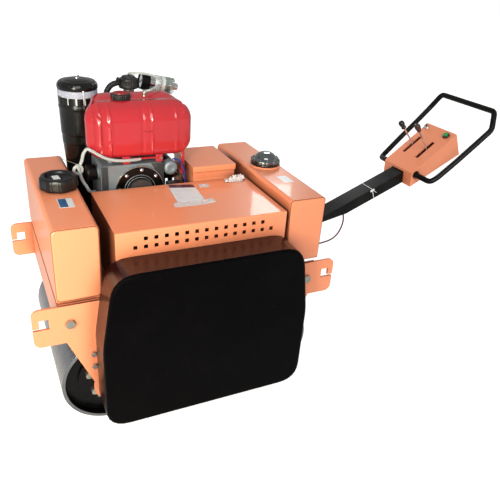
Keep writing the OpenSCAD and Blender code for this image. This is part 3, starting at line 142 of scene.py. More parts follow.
class Graph:
    """The node tree of a material or a world."""

    def __init__(self, owner):
        owner.use_nodes = True
        self.owner, self.tree = owner, owner.node_tree
        self.shader = self.tree.nodes.get("Principled BSDF")

    def node(self, kind, inputs=(), **settings):
        made = self.tree.nodes.new("ShaderNode" + kind)
        for key, value in settings.items():
            setattr(made, key, value)
        for key, value in dict(inputs).items():
            socket = made.inputs[key]
            if isinstance(value, bpy.types.NodeSocket):
                self.tree.links.new(value, socket)
            else:
                socket.default_value = value
        return made

    def math(self, operation, a, b=0.0, clamp=False):
        return self.node("Math", {0: a, 1: b}, operation=operation, use_clamp=clamp).outputs[0]

    def ramp(self, value, low, high, to_low=0.0, to_high=1.0):
        return self.node("MapRange", {0: value, 1: low, 2: high, 3: to_low, 4: to_high}).outputs[0]

    def mix(self, share, a, b):
        return self.node("Mix", {0: share, 6: a, 7: b}, data_type="RGBA").outputs[2]

    def noise(self, where, scale, detail=2.0, rough=0.5):
        return self.node("TexNoise", {"Vector": where, "Scale": scale, "Detail": detail,
                                      "Roughness": rough}).outputs[0]

    def join(self, value, socket):
        if isinstance(value, bpy.types.NodeSocket):
            self.tree.links.new(value, self.shader.inputs[socket])
        else:
            self.shader.inputs[socket].default_value = value


# The colour and reach, in metres, of the painted shade in corners and gaps, and the width in mm of the
# lighter edges, which are part wear and part painted highlight.
CAVITY_SHADE_COLOUR, CAVITY_SHADE_REACH, WEAR_AND_SHEEN_WIDTH = (70, 20, 14), 0.11, 2.2


def shade(colour, share):
    return tuple(min(1.0, c * share) for c in colour) + (1.0,)


def finish(name, colour, rough, metal=0.0, coat=0.0, specular=0.5, tone=0.06, patch=4.0, gloss=0.08,
           grain=500.0, bump=0.08, depth=0.3, stretch=(1, 1, 1), soft=1.2, wear_and_sheen=0.0,
           wear_and_sheen_colour=(200, 190, 180), dust=0.0, dusty=(150, 140, 128), specks=0.0, brushed=0.0, clear=0.0,
           ior=1.5, painted_cavity_shade=0.0):
    """A finished material. depth and soft are in mm, patch and grain are noise scales per metre."""
    g, colour = Graph(bpy.data.materials.new(name)), lin(*colour)
    where = g.node("TexCoord").outputs["Object"]
    own = g.node("Mapping", {"Vector": where, "Scale": stretch}).outputs[0]
    broad = g.noise(where, patch, 4.0)
    fine = g.noise(own, grain, 3.0)
    tint = g.mix(g.ramp(broad, 0.3, 0.7), shade(colour, 1 - tone), shade(colour, 1 + tone))
    tint = g.mix(g.ramp(fine, 0.3, 0.7, 0.0, 0.35), tint, shade(colour, 1 - 2 * tone))
    rough_value = g.math("ADD", g.ramp(fine, 0.25, 0.75, rough - gloss, rough + gloss),
                         g.ramp(broad, 0.3, 0.7, -gloss / 2, gloss / 2), clamp=True)
    # Lighter edges: partly paint rubbed thin, partly a painted highlight along them.
    if wear_and_sheen:
        wide = g.node("Bevel", {"Radius": WEAR_AND_SHEEN_WIDTH * MM}, samples=4).outputs[0]
        flat = g.node("NewGeometry").outputs["True Normal"]
        bend = g.node("VectorMath", {0: wide, 1: flat}, operation="DOT_PRODUCT").outputs["Value"]
        edge = g.math("MULTIPLY", g.ramp(bend, 0.97, 0.8),
                      g.ramp(g.noise(where, 60, 5.0), 0.42, 0.6, 0.2, 1.0))
        tint = g.mix(g.math("MULTIPLY", edge, wear_and_sheen), tint, lin(*wear_and_sheen_colour) + (1.0,))
    if dust:
        cloud = g.ramp(g.noise(where, 9.0, 8.0, 0.65), 0.48, 0.72, 0.0, dust)
        tint = g.mix(cloud, tint, lin(*dusty) + (1.0,))
        rough_value = g.math("ADD", rough_value, g.math("MULTIPLY", cloud, 0.5), clamp=True)
    if specks:
        spots = g.node("TexVoronoi", {"Vector": where, "Scale": 38.0})
        small = g.math("MULTIPLY", g.ramp(spots.outputs["Distance"], 0.05, 0.02),
                       g.ramp(g.noise(where, 7.0), 0.56, 0.6))
        tint = g.mix(g.math("MULTIPLY", small, specks), tint, (0.05, 0.03, 0.02, 1.0))
    if brushed:
        lines = g.noise(own, 6.0, 8.0, 0.7)
        tint = g.mix(g.ramp(lines, 0.35, 0.7, 0.0, brushed), tint, shade(colour, 1.5))
        rough_value = g.math("ADD", rough_value,
                             g.ramp(lines, 0.3, 0.7, -brushed / 3, brushed / 3), clamp=True)
    # Painted shade: where little open space surrounds a point, the colour darkens to a deep maroon, as
    # the shadow in gaps and corners.
    if painted_cavity_shade:
        open_sky = g.node("AmbientOcclusion", {"Distance": CAVITY_SHADE_REACH}, samples=6).outputs["AO"]
        tint = g.mix(g.ramp(open_sky, 0.3, 0.8, painted_cavity_shade, 0.0), tint, lin(*CAVITY_SHADE_COLOUR) + (1.0,))
    inputs = {"Strength": bump, "Distance": depth * MM, "Height": fine}
    if soft:
        inputs["Normal"] = g.node("Bevel", {"Radius": soft * MM}, samples=4).outputs[0]
    g.join(g.node("Bump", inputs).outputs[0], "Normal")
    g.join(tint, "Base Color")
    g.join(rough_value, "Roughness")
    for socket, value in (("Metallic", metal), ("Coat Weight", coat), ("Coat Roughness", 0.06),
                          ("Specular IOR Level", specular), ("Transmission Weight", clear),
                          ("IOR", ior)):
        g.join(value, socket)
    return g.owner


ORANGE = finish("orange_paint", (246, 150, 108), 0.34, coat=0.25, tone=0.035, patch=2.6, gloss=0.05,
                grain=260, bump=0.06, wear_and_sheen=0.35, wear_and_sheen_colour=(255, 205, 175), dust=0.10, dusty=(214, 150, 120),
                specks=0.55, painted_cavity_shade=0.9)
ORANGE_DARK = finish("orange_paint_shaded", (236, 140, 96), 0.4, coat=0.1, tone=0.06, dust=0.3,
                     dusty=(150, 105, 80), wear_and_sheen=0.3, wear_and_sheen_colour=(250, 190, 160), painted_cavity_shade=0.85)
RED = finish("red_paint", (180, 33, 42), 0.2, coat=0.8, tone=0.05, patch=5, gloss=0.04,
             grain=220, bump=0.03)
GREEN_PAINT = finish("green_paint", (60, 92, 78), 0.45, tone=0.12, dust=0.45)
BLACK_PAINT = finish("black_paint", (6, 6, 6), 0.28, coat=0.1, tone=0.2, specular=0.14, wear_and_sheen=0.25,
                     wear_and_sheen_colour=(95, 92, 90), dust=0.12, dusty=(70, 66, 62))
DRUM = finish("drum_steel", (140, 141, 145), 0.2, metal=1.0, tone=0.2, patch=14, gloss=0.06, grain=900,
              stretch=(1, 24, 1), brushed=0.6, bump=0.12, wear_and_sheen=0.5, wear_and_sheen_colour=(235, 235, 235), dust=0.2,
              dusty=(96, 92, 90), soft=1.5)
DISC = finish("drum_disc", (3, 3, 4), 0.3, coat=0.05, tone=0.25, specular=0.16, dust=0.15,
              dusty=(46, 44, 44))
MACHINED = finish("machined_steel", (176, 177, 180), 0.25, metal=1.0, tone=0.08, brushed=0.3,
                  stretch=(1, 30, 1), soft=0.4)
IRON = finish("dark_iron", (70, 71, 74), 0.5, metal=0.7, tone=0.18, grain=700, bump=0.35, depth=0.5,
              dust=0.4, dusty=(104, 92, 80))
ALUMINIUM = finish("cast_aluminium", (132, 142, 150), 0.42, metal=0.4, tone=0.1, patch=12, grain=900,
                   bump=0.4, depth=0.5, dust=0.3, dusty=(92, 88, 84), wear_and_sheen=0.3, wear_and_sheen_colour=(222, 224, 226))
ZINC = finish("zinc_plate", (190, 186, 172), 0.28, metal=0.95, tone=0.14, patch=60, gloss=0.08,
              dust=0.2, dusty=(120, 110, 90), soft=0.6)
CHROME = finish("chrome", (220, 221, 224), 0.12, metal=1.0, tone=0.05, gloss=0.04, soft=0.4)
MOULDED = finish("black_moulding", (17, 16, 18), 0.34, specular=0.42, tone=0.15, grain=1500, bump=0.25,
                 depth=0.3, dust=0.3, dusty=(84, 82, 82), wear_and_sheen=0.35, wear_and_sheen_colour=(92, 90, 92))
GLOSSY = finish("black_gloss", (7, 7, 8), 0.1, coat=0.5, tone=0.2, gloss=0.04, grain=300, bump=0.03)
COVER_FACE = finish("cover_face", (5, 4, 5), 0.26, specular=0.05, tone=0.3, patch=3, gloss=0.06,
                    grain=420, bump=0.08, dust=0.03, dusty=(46, 42, 42), soft=2.0)
# Black rim wall of the drive cover, tinted dark red as painted reflection of the orange plates and hood
# round it.
COVER_BAND_REFLECTION = finish("cover_band_reflection", (40, 10, 7), 0.3, specular=0.45, tone=0.2, patch=3, gloss=0.04,
                    grain=300, bump=0.05, dust=0.05, dusty=(80, 56, 50), soft=2.0)
CASE = finish("cleaner_case", (10, 10, 9), 0.2, coat=0.12, specular=0.35, tone=0.3, patch=10,
              gloss=0.05, grain=600, bump=0.12, dust=0.1, dusty=(66, 66, 58))
CAP_TOP = finish("cap_top", (150, 28, 36), 0.35, coat=0.2, tone=0.1, gloss=0.05)
SHIELD = finish("shield_plate", (226, 232, 230), 0.3, metal=0.3, tone=0.06, patch=40,
                grain=500, bump=0.08)
SLATS = finish("shield_slats", (150, 164, 160), 0.24, metal=0.7, tone=0.12, patch=50,
               brushed=0.3, soft=0.5)
BROWN = finish("brown_moulding", (66, 30, 32), 0.2, coat=0.5, tone=0.12, gloss=0.05)
GREEN = finish("green_moulding", (28, 158, 84), 0.22, coat=0.5, tone=0.06, gloss=0.05)
FROSTED = finish("frosted_bowl", (205, 208, 226), 0.3, clear=0.35, tone=0.03, ior=1.45, grain=700,
                 bump=0.08, soft=0.5)
SMOKED = finish("smoked_chrome", (112, 118, 118), 0.09, metal=0.9, coat=0.6, tone=0.12,
                gloss=0.04, soft=0.5)
WHITE = finish("white_filter", (232, 233, 238), 0.6, tone=0.05, grain=900, bump=0.3)
CLEAR_HOSE = finish("clear_hose", (202, 206, 206), 0.12, clear=0.35, tone=0.05, ior=1.4,
                    gloss=0.04, soft=0)
RUBBER = finish("black_rubber", (24, 24, 25), 0.55, specular=0.35, tone=0.15, grain=1300, bump=0.3,
                dust=0.25, dusty=(74, 70, 66))
JACKET = finish("cable_jacket", (104, 26, 30), 0.35, tone=0.1, grain=900, bump=0.15, soft=0)
BLUE_WIRE = finish("blue_wire", (36, 44, 120), 0.35, tone=0.08, soft=0)
TIE = finish("cable_tie", (228, 230, 232), 0.4, tone=0.04, soft=0.3, grain=1500, bump=0.1)
PAPER = finish("plate_white", (226, 229, 233), 0.32, coat=0.3, tone=0.04, patch=30, grain=900,
               bump=0.04, soft=0)
MAROON = finish("plate_band", (96, 34, 40), 0.3, coat=0.3, tone=0.06, soft=0)
BLUE = finish("plate_blue", (28, 84, 132), 0.3, coat=0.3, tone=0.05, soft=0)
FILM = finish("clear_film", (246, 238, 238), 0.14, clear=0.4, tone=0.03, ior=1.25, soft=0,
              grain=200, bump=0.3)
GROOVE = finish("dark_groove", (176, 92, 56), 0.6, specular=0.2, tone=0.2, soft=0)


# Shapes. One Shape gathers closed solids in one mesh, in the machine's millimetres.
def soften(points, radius, steps=3, closed=False):
    """The corners of a path rounded off."""
    out, last = [], len(points) - 1
    for i, p in enumerate(points):
        p = Vector(p)
        if not closed and i in (0, last):
            out.append(tuple(p))
            continue
        a, b = Vector(points[i - 1]), Vector(points[(i + 1) % len(points)])
        start = p + (a - p).normalized() * min(radius, (a - p).length * 0.48)
        end = p + (b - p).normalized() * min(radius, (b - p).length * 0.48)
        for k in range(steps + 1):
            t = k / steps
            out.append(tuple((1 - t) ** 2 * start + 2 * t * (1 - t) * p + t * t * end))
    return out


def flowing(points, steps=6):
    """A smooth path through the points."""
    pts, out = [Vector(p) for p in points], []
    last = len(pts) - 1
    for i in range(last):
        a, b, c, d = pts[max(i - 1, 0)], pts[i], pts[i + 1], pts[min(i + 2, last)]
        for k in range(steps):
            s = k / steps
            bent, twisted = a * 2 - b * 5 + c * 4 - d, b * 3 - a - c * 3 + d
            out.append((b * 2 + (c - a) * s + bent * s * s + twisted * s * s * s) / 2)
    return out + [pts[-1]]


def spokes(count, start=0.0):
    """Angles in equal steps round a full turn."""
    return [start + tau * k / count for k in range(count)]


def rounded(width, height, radius, steps=5):
    """Outline of a rectangle about its middle with round corners, anticlockwise."""
    out = []
    for cx, cy, start in ((1, 1, 0), (-1, 1, 90), (-1, -1, 180), (1, -1, 270)):
        for k in range(steps + 1):
            a = radians(start + 90 * k / steps)
            x, y = cx * (width / 2 - radius), cy * (height / 2 - radius)
            out.append((x + radius * cos(a), y + radius * sin(a)))
    return out


def sleeve(rows, n):
    """Faces between rows of n points each, with both ends closed."""
    faces = []
    for i in range(0, (rows - 1) * n, n):
        faces += [[i + k, i + (k + 1) % n, i + n + (k + 1) % n, i + n + k] for k in range(n)]
    last = (rows - 1) * n
    return faces + [list(range(n))[::-1], list(range(last, last + n))]


class Shape:
    def __init__(self, *materials):
        self.bm = bmesh.new()
        self.materials = materials

    def take(self, verts, faces, m=Matrix(), mat=0):
        made = [self.bm.verts.new(m @ Vector(v)) for v in verts]
        for f in faces:
            face = self.bm.faces.new([made[i] for i in f])
            face.material_index = mat
            face.smooth = True
        return self

    def merge(self, other, m, mat):
        other.verts.index_update()
        verts = [v.co.copy() for v in other.verts]
        faces = [[v.index for v in f.verts] for f in other.faces]
        other.free()
        return self.take(verts, faces, m, mat)

    def lathe(self, profile, m=Matrix(), mat=0, n=48, wave=None, ring=False):
        """Turns (radius, height) points about Z. A third value is the share of wave(angle) added."""
        rows, verts = [], []
        for p in profile:
            share = p[2] if len(p) > 2 else 0
            if p[0] < 1e-6:
                rows.append([len(verts)])
                verts.append((0, 0, p[1]))
                continue
            rows.append(list(range(len(verts), len(verts) + n)))
            for k in range(n):
                a = tau * k / n
                r = p[0] + (wave(a) * share if share else 0)
                verts.append((r * cos(a), r * sin(a), p[1]))
        faces = []
        for a, b in list(zip(rows, rows[1:])) + ([(rows[-1], rows[0])] if ring else []):
            for k in range(n):
                quad = [a[k % len(a)], a[(k + 1) % n % len(a)], b[(k + 1) % n % len(b)], b[k % len(b)]]
                quad = list(dict.fromkeys(quad))
                if len(quad) > 2:
                    faces.append(quad)
        return self.take(verts, faces, m, mat)

    def turn(self, profile, radius, m, mat=0, n=48, steps=3):
        """A (radius, height) profile with soft corners, turned about Z."""
        return self.lathe(soften(profile, radius, steps), m, mat, n)

    def ring(self, profile, radius, m, mat=0, n=48):
        """A closed outline with soft corners, turned about Z."""
        return self.lathe(soften(profile, radius, closed=True), m, mat, n, ring=True)

    def box(self, size, m=Matrix(), mat=0, r=1.0, steps=2):
        """A box about its middle in x and y that stands on z = 0, with round edges."""
        bm = bmesh.new()
        bmesh.ops.create_cube(bm, size=1)
        for v in bm.verts:
            v.co = Vector((v.co.x * size[0], v.co.y * size[1], (v.co.z + 0.5) * size[2]))
        if r:
            bmesh.ops.bevel(bm, geom=bm.edges[:], offset=r, segments=steps, affect="EDGES", profile=0.5)
        return self.merge(bm, m, mat)

    def prism(self, outline, depth, m=Matrix(), mat=0, r=0.6, steps=2):
        """An outline drawn out along z, with its two rims rounded."""
        bm = bmesh.new()
        face = bm.faces.new([bm.verts.new((x, y, 0)) for x, y in outline])
        made = bmesh.ops.extrude_face_region(bm, geom=[face])
        top = [v for v in made["geom"] if isinstance(v, bmesh.types.BMVert)]
        for v in top:
            v.co.z = depth
        if r:
            rims = [e for e in bm.edges if abs(e.verts[0].co.z - e.verts[1].co.z) < 1e-6]
            bmesh.ops.bevel(bm, geom=rims, offset=r, segments=steps, affect="EDGES", profile=0.5)
        return self.merge(bm, m, mat)

    def tube(self, path, radius, mat=0, n=12, m=Matrix()):
        """A round tube along a path. radius is a number, or a function of the distance along it."""
        pts = [Vector(p) for p in path]
        side, walked, verts = None, 0.0, []
        for i, p in enumerate(pts):
            t = (pts[min(i + 1, len(pts) - 1)] - pts[max(i - 1, 0)]).normalized()
            if side is None:
                side = t.orthogonal().normalized()
            side = (side - t * side.dot(t)).normalized()
            other = t.cross(side)
            if i:
                walked += (p - pts[i - 1]).length
            r = radius(walked) if callable(radius) else radius
            for k in range(n):
                a = tau * k / n
                verts.append(p + side * (r * cos(a)) + other * (r * sin(a)))
        return self.take(verts, sleeve(len(pts), n), m, mat)

    def bolt(self, m, width, height, mat=0, washer=0.0):
        """A hexagon head with its chamfer, on a washer if it has one."""
        if washer:
            self.lathe([(0, 0), (washer, 0), (washer, 1.2), (washer - 0.5, 1.6), (0, 1.6)], m, mat, 24)
            m = m @ moved(0, 0, 1.5)
        r = width / sqrt(3)
        rings = [(r, 0), (r, height * 0.8), (r * 0.86, height)]
        verts = [(q * cos(a), q * sin(a), z) for q, z in rings for a in spokes(6)]
        return self.take(verts, sleeve(3, 6), m, mat)

    def done(self, name, body=ROOT, replaces=(), sharp=34):
        bmesh.ops.recalc_face_normals(self.bm, faces=self.bm.faces)
        for v in self.bm.verts:
            v.co = place(v.co)
        mesh = bpy.data.meshes.new(name)
        self.bm.to_mesh(mesh)
        self.bm.free()
        for material in self.materials:
            mesh.materials.append(material)
        mesh.set_sharp_from_angle(angle=radians(sharp))
        made = bpy.data.objects.new(name, mesh)
        SCENE.collection.objects.link(made)
        if body:
            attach(made, body)
        if replaces:
            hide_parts(*replaces)
        return made


def dress(material, *names):
    """A CAD node whose shape is right gets a better material."""
    for name in names:
        mesh = NODES[name].data
        mesh.materials.clear()
        mesh.materials.append(material)
        mesh.shade_smooth()
        mesh.set_sharp_from_angle(angle=radians(32))


# The control cable hangs from the pole's underside to the rear cross beam
CABLE_R = 3.5
GLAND_U, GLAND_V = 318, -31.8
CABLE = [tuple(HANDLE @ Vector((GLAND_U, -20, GLAND_V))), (850.2, 333, 557.7), (853, 332, 530),
         (847, 331, 500), (833, 330, 472), (811, 330, 450), (780, 330, 438), (735, 328, 433),
         (690, 322, 432), (640, 309, 435), (590, 293, 443), (545, 284, 455), (500, 281, 471),
         (464, 280, 485), (440.8, 280, 485)]


def control_cable():
    path = flowing(CABLE, 8)
    shape = Shape(JACKET)
    shape.tube(path, CABLE_R, n=14)
    cable = shape.done("cable", body=None, replaces=("control_cable",))
    metres = [place(p) for p in path]
    length = sum((b - a).length for a, b in zip(metres, metres[1:]))
    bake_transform(cable)
    return length


cable_length = control_cable()
print("cable length", round(cable_length, 3))


# CAD nodes that keep their shape
def split(name, inner, outer, rule):
    """A CAD node in two materials, inner where rule(middle of a face) says so."""
    dress(outer, name)
    mesh = NODES[name].data
    mesh.materials.append(inner)
    for face in mesh.polygons:
        middle = (face.center.x / MM - X0 / MM, face.center.y / MM - Y0 / MM, face.center.z / MM)
        face.material_index = 1 if rule(middle) else 0


def inside_rim(middle):
    return hypot(abs(middle[0]) - DRUM_X, middle[2] - DRUM_Z) < DISC_R


def hub_face(middle):
    r = hypot(abs(middle[0]) - DRUM_X, middle[2] - DRUM_Z)
    return abs(r - HUB_R) < HUB_R - HUB_BORE and not HUB_ENDS[0] < middle[1] < HUB_ENDS[1]


dress(ORANGE, "near_side_plate", "far_side_plate", "front_cross_plate", "rear_cross_beam",
      "front_water_tank", "rear_water_tank", "hood", "battery_box", "handle_bracket", "control_box")
dress(ORANGE_DARK, "deck_plate", "mounting_rails")
dress(GREEN_PAINT, "bearing_units", "gearbox")
dress(ZINC, "frame_bolts", "handle_pin", "spray_bars")
dress(IRON, "scrapers", "front_drum_sprocket", "rear_drum_sprocket", "input_pulleys", "travel_chains",
      "crank_pulley", "flywheel")
dress(MACHINED, "vibrator_shaft", "gearbox_input_shaft", "drive_shaft", "crankshaft")
dress(RUBBER, "vibrator_belt", "engine_belt")
dress(ALUMINIUM, "crankcase")
# The far guard is black: a screen behind the engine, and also painted shade that fills the gaps between
# the tanks, the hood and the engine.
dress(BLACK_PAINT, "fan_shroud", "far_guard", "handle_pole", "handle_loop")
dress(MOULDED, "battery")
dress(CHROME, "travel_lever", "throttle_lever")
split("front_drum", DISC, DRUM, inside_rim)
split("rear_drum", DISC, DRUM, inside_rim)
split("drive_cover", COVER_FACE, COVER_BAND_REFLECTION, lambda middle: middle[1] < COVER_RIM_Y)
for drum in ("front_drum_hubs", "rear_drum_hubs"):
    split(drum, ZINC, DISC, hub_face)


# Engine, tank and lid pieces, most of them in place of plain CAD nodes
def lobes(profile, chosen):
    """A profile for lathe() whose chosen points follow the wave."""
    return [(r, z, 1.0 if chosen(r, z) else 0.0) for r, z in profile]


def lugs(count, depth, sharp=4.0, start=0.0):
    """A wave with count lugs round the turn, for lathe()."""
    return lambda a: depth * (0.5 + 0.5 * tanh(sharp * cos(count * a - start)))


FRONT_LID, REAR_LID = (-412.4, 351.9, 831), (433.6, 378.8, 831)


def front_lid():
    shape = Shape(MOULDED, PAPER)
    profile = soften([(0, 19), (48.8, 19), (48.8, 0.5), (63, 0.5), (64.5, 6), (64.5, 34), (62, 43),
                      (55, 45), (47, 43.5), (43, 34), (15, 31.5), (12, 33), (0, 33)], 2.5)
    m = at(*FRONT_LID)
    shape.lathe(lobes(profile, lambda r, z: r > 62.5), m, 0, 144, lugs(8, 3.4, 3.0, 0.6))
    for a in spokes(12):
        shape.box((2.2, 9, 1.5), m @ around(51, a, 44), 0, 0.6)
    shape.box((24, 38, 0.8), m @ at(8, -8, 33.4, turn=6), 1, 0.2, 1)
    shape.done("front_lid", "front_lid_body", ("front_tank_lid",))


def rear_lid():
    shape = Shape(SMOKED, GLOSSY)
    profile = soften([(0, 19), (48.8, 19), (48.8, 15), (56, 15), (57, 18), (57, 27), (50, 32), (44, 34),
                      (41, 41), (33, 49), (20, 54.5), (0, 56)], 3.5, 4)
    m = at(*REAR_LID)
    shape.lathe(lobes(profile, lambda r, z: 15.5 < z < 33 and r > 46), m, 0, 144, lugs(10, 5.0, 1.6))
    shape.ring([(48.8, 6.5), (58, 6.5), (62, 9), (62, 14), (57, 17), (48.8, 17)], 2, m, 1, 96)
    for a in spokes(10):
        shape.turn([(0, 0), (5.5, 0), (5.5, 4), (0, 6.5)], 2.5, m @ around(50, a, 30), 0, 20)
    shape.done("rear_lid", "rear_lid_body", ("rear_tank_lid",), sharp=60)
    collar = Shape(ORANGE)
    collar.ring([(49.5, -0.5), (66, -0.5), (63, 2.5), (61, 5.6), (49.5, 5.6)], 1.2, m, 0, 72)
    collar.done("rear_filler_ring", ROOT)


TANK_X, TANK_Y, TANK_Z = -291, 405, 895
TANK_L, TANK_W, TANK_H, TANK_R, TANK_EDGE = 406, 157, 205, 62, 26
TANK_FRONT_W, TANK_TAPER = 84, 28
# Pressed ridges of the tank's front: place along it, width and height
RIDGES = ((-268, 6, 5.5), (-243, 6, 6.5), (-207, 6, 5.0), (-84, 10, -2.5), (-47, 5, 3.4), (50, 8, 2.4),
          (84, 7, 3.0))
TANK_HUMP, TANK_LEAN = 17, 46


def tank_outline(inset, taper, count):
    """The tank's front outline drawn in by inset and taper, in count points by share of its length."""
    w, h, r = TANK_L - 2 * taper - 2 * inset, TANK_H - 2 * inset, TANK_R - inset
    w, h, r = max(w, 4), max(h, 4), max(min(r, w / 2 - 1, h / 2 - 1), 1)
    parts = [TANK_L - 2 * TANK_R, tau * TANK_R / 4, TANK_H - 2 * TANK_R, tau * TANK_R / 4] * 2
    corners = [(1, 1), (1, -1), (-1, -1), (-1, 1)]
    middles = [Vector((sx * (w / 2 - r), sz * (h / 2 - r))) for sx, sz in corners]
    out = []
    for k in range(count):
        left, i = sum(parts) * k / count, 0
        while left > parts[i]:
            left -= parts[i]
            i += 1
        t, n = left / parts[i], i // 2
        if i % 2:
            turn = radians(90 - 90 * n - 90 * t)
            out.append(middles[n] + Vector((cos(turn), sin(turn))) * r)
        else:
            out.append(middles[n - 1].lerp(middles[n], t)
                       + Vector(((0, 1), (1, 0), (0, -1), (-1, 0))[n]) * r)
    return out


def tank_shell(shape):
    """Rings from the middle of the front to the middle of the back, with the ridges pressed out."""
    count, e = 336, TANK_EDGE
    cx, cz = TANK_X + TANK_L / 2, TANK_Z + TANK_H / 2
    arc = [(e - e * sin(radians(a)), e - e * cos(radians(a))) for a in range(90, -1, -9)]
    flat = [(inset, 0.0) for inset in (101, 92, 83, 74, 66, 59, 53, 48, 44)]
    straight = [(0.0, y) for y in (50, 62, 74, 86, 98, 108)]
    back = [(inset, TANK_W - depth) for inset, depth in arc + flat[::-1]]
    rings = flat + arc[::-1] + straight + back
    verts = []
    for inset, y in rings:
        share = min(1.0, max(0.0, (y - TANK_FRONT_W + e) / (TANK_W - TANK_FRONT_W)))
        press = min(1.0, max(0.0, (TANK_W - 40 - y) / 60))
        for x, z in tank_outline(inset, TANK_TAPER * share, count):
            level = min(1.0, max(0.0, (TANK_H / 2 + 4 - abs(z)) / 16)) if y > e else 1.0
            fade = min(1.0, inset / 10 + 0.25) * press * level
            lift = fade * sum(h * exp(-2.2 * ((cx + x - centre) / w) ** 2) for centre, w, h in RIDGES)
            crown = 3.0 * max(0.0, 1 - abs(x / (TANK_L / 2)) ** 3) * min(1.0, inset / 60) * (y < e)
            rise = min(1.0, max(0.0, (y - 50) / 95))
            hump = TANK_HUMP * rise * rise * (3 - 2 * rise) * min(1.0, max(0.0, (z - 10) / 80)) ** 2
            lean = TANK_LEAN * max(0.0, (z - 30) / 72) ** 2 * max(0.0, 1 - y / 105)
            out = lean - (lift + crown) * (y < e) + 3.0 * (y < e)
            up = hump + lift * (y > e and z > 60) * 0.5
            verts.append((cx + x, TANK_Y + y + out, cz + z + up))
    shape.take(verts, sleeve(len(rings), count))


def fuel_tank():
    shape = Shape(RED, CHROME, ZINC)
    tank_shell(shape)
    shape.turn([(0, -4), (27, -4), (26, 3), (24, 6), (24, 13.8), (0, 13.8)], 2,
               at(*FILLER, 1100), 0, 48)
    shape.turn([(0, -2), (11, -2), (11, 3), (7, 4), (7, 11.8), (0, 11.8)], 1, at(*SPOUT, 1100), 2, 24)
    shape.prism(rounded(190, 14, 5), 5, at(-100, 412, 889, UP), 0, 1.5)
    for x in (-150, -20):
        shape.prism(rounded(30, 30, 6), 3, at(x, 412, 888, NEAR), 0, 0.8)
        shape.bolt(at(x + 6, 409, 889, NEAR), 9, 6, 2, 6)
    # Leg that carries the tank's right end
    shape.prism([(-9, 0), (9, 0), (6, 96), (-6, 96)], 3, at(86, 436, 810, NEAR), 0, 0.8)
    shape.box((18, 34, 3), at(86, 449, 809), 0, 0.8)
    shape.done("fuel_tank_shell", ROOT, ("fuel_tank",), sharp=50)


def fuel_cap():
    shape = Shape(MOULDED, CAP_TOP)
    m = at(*FILLER, 1100.3)
    profile = soften([(0, 15), (24.6, 15), (24.6, 0.3), (36, 0.3), (37, 3), (37, 18), (35, 21),
                      (31, 22.4), (0, 22.4)], 1.4)
    shape.lathe(lobes(profile, lambda r, z: r > 35.5), m, 0, 168, lugs(28, -1.8, 2.0))
    shape.turn([(0, 22), (30, 22), (29.4, 24.2), (27, 24.8), (0, 24.0)], 0.8, m, 1, 64)
    for k in range(-3, 4):
        half = sqrt(26 ** 2 - (7 * k) ** 2)
        shape.box((2 * half, 1.6, 1.1), m @ at(0, 7 * k, 24), 1, 0.4)
    shape.done("fuel_cap_knurled", "fuel_cap_body", ("fuel_cap",))


CLEANER = (-276, 638)


def air_cleaner():
    m = at(*CLEANER, 0)
    shape = Shape(CASE, WHITE, CHROME)
    shape.turn([(0, 552.4), (40, 552.4), (40, 558), (22, 560), (20, 566), (20, 768), (26, 771),
                (56, 771), (62, 776), (63, 790), (63.5, 828), (69, 905), (70.5, 908), (71, 940),
                (73, 945), (74.5, 1040), (76, 1043), (76, 1054), (74, 1057), (74, 1062), (70, 1062),
                (0, 1062)], 2.5, m, 0, 96)
    shape.lathe([(0, 1060), (69.5, 1060), (69.5, 1090), (0, 1090)], m, 1, 64)
    for start in spokes(14):
        arc = [(start + tau * 0.78 / 14 * j / 6, 74.6) for j in range(7)]
        outline = [(r * cos(a), r * sin(a)) for a, r in arc + [(a, 69) for a, r in reversed(arc)]]
        shape.prism(outline, 27, m @ moved(0, 0, 1061), 0, 0.7, 1)
    plate = m @ at(-70, -31, 985, (-0.914, -0.405, 0.0))
    shape.prism(rounded(36, 76, 4), 7, plate @ moved(0, 0, -4), 0, 1.2)
    for dx, dy, w, h in ((0, 34, 34, 3.4), (0, -34, 34, 3.4), (15, 0, 3.4, 66), (-15, 0, 3.4, 66)):
        shape.box((w, h, 3), plate @ moved(dx, dy, 2), 1, 0.5)
    shape.tube([(-209, 638, 1045), (-189.2, 638, 1045)], 11, 0, 24)
    for a in (35, 155, 275):
        c, s = cos(radians(a)), sin(radians(a))
        shape.tube(flowing([(CLEANER[0] + c * q, CLEANER[1] + s * q, z)
                            for q, z in ((75, 1048), (78, 1056), (78, 1110), (77.5, 1120))],
                           4), 1.1, 2, 8)
        shape.box((4, 10, 12), m @ at(c * 76.3, s * 76.3, 1046, turn=a), 0, 1.0)
    cap = soften([(0, 1116), (70, 1116), (74, 1114.4), (77, 1117), (77.5, 1128), (75, 1136), (68, 1144),
                  (60, 1147), (57, 1145), (45, 1150), (24, 1154), (20, 1152), (0, 1153)], 4, 4)
    shape.lathe(lobes(cap, lambda r, z: z > 1130 and r > 56), m, 0, 144, lugs(18, -1.7, 1.2))
    shape.turn([(0, 1150), (9, 1150), (8, 1156), (5, 1158), (0, 1159)], 1.5, m, 2, 20)
    for s in (0, 180):
        shape.box((13, 3, 9), m @ at(0, 0, 1153, turn=40 + s) @ moved(9, 0, 0) @ turned(-25), 2, 1.2)
    shape.done("air_cleaner_case", ROOT, ("air_cleaner",), sharp=40)
    bowl = Shape(FROSTED)
    bowl.ring([(63, 1090.3), (75.2, 1090.3), (75.2, 1113.7), (63, 1113.7)], 1.2, m, 0, 96)
    bowl.done("air_cleaner_dust_bowl", ROOT, ("air_cleaner_bowl",))


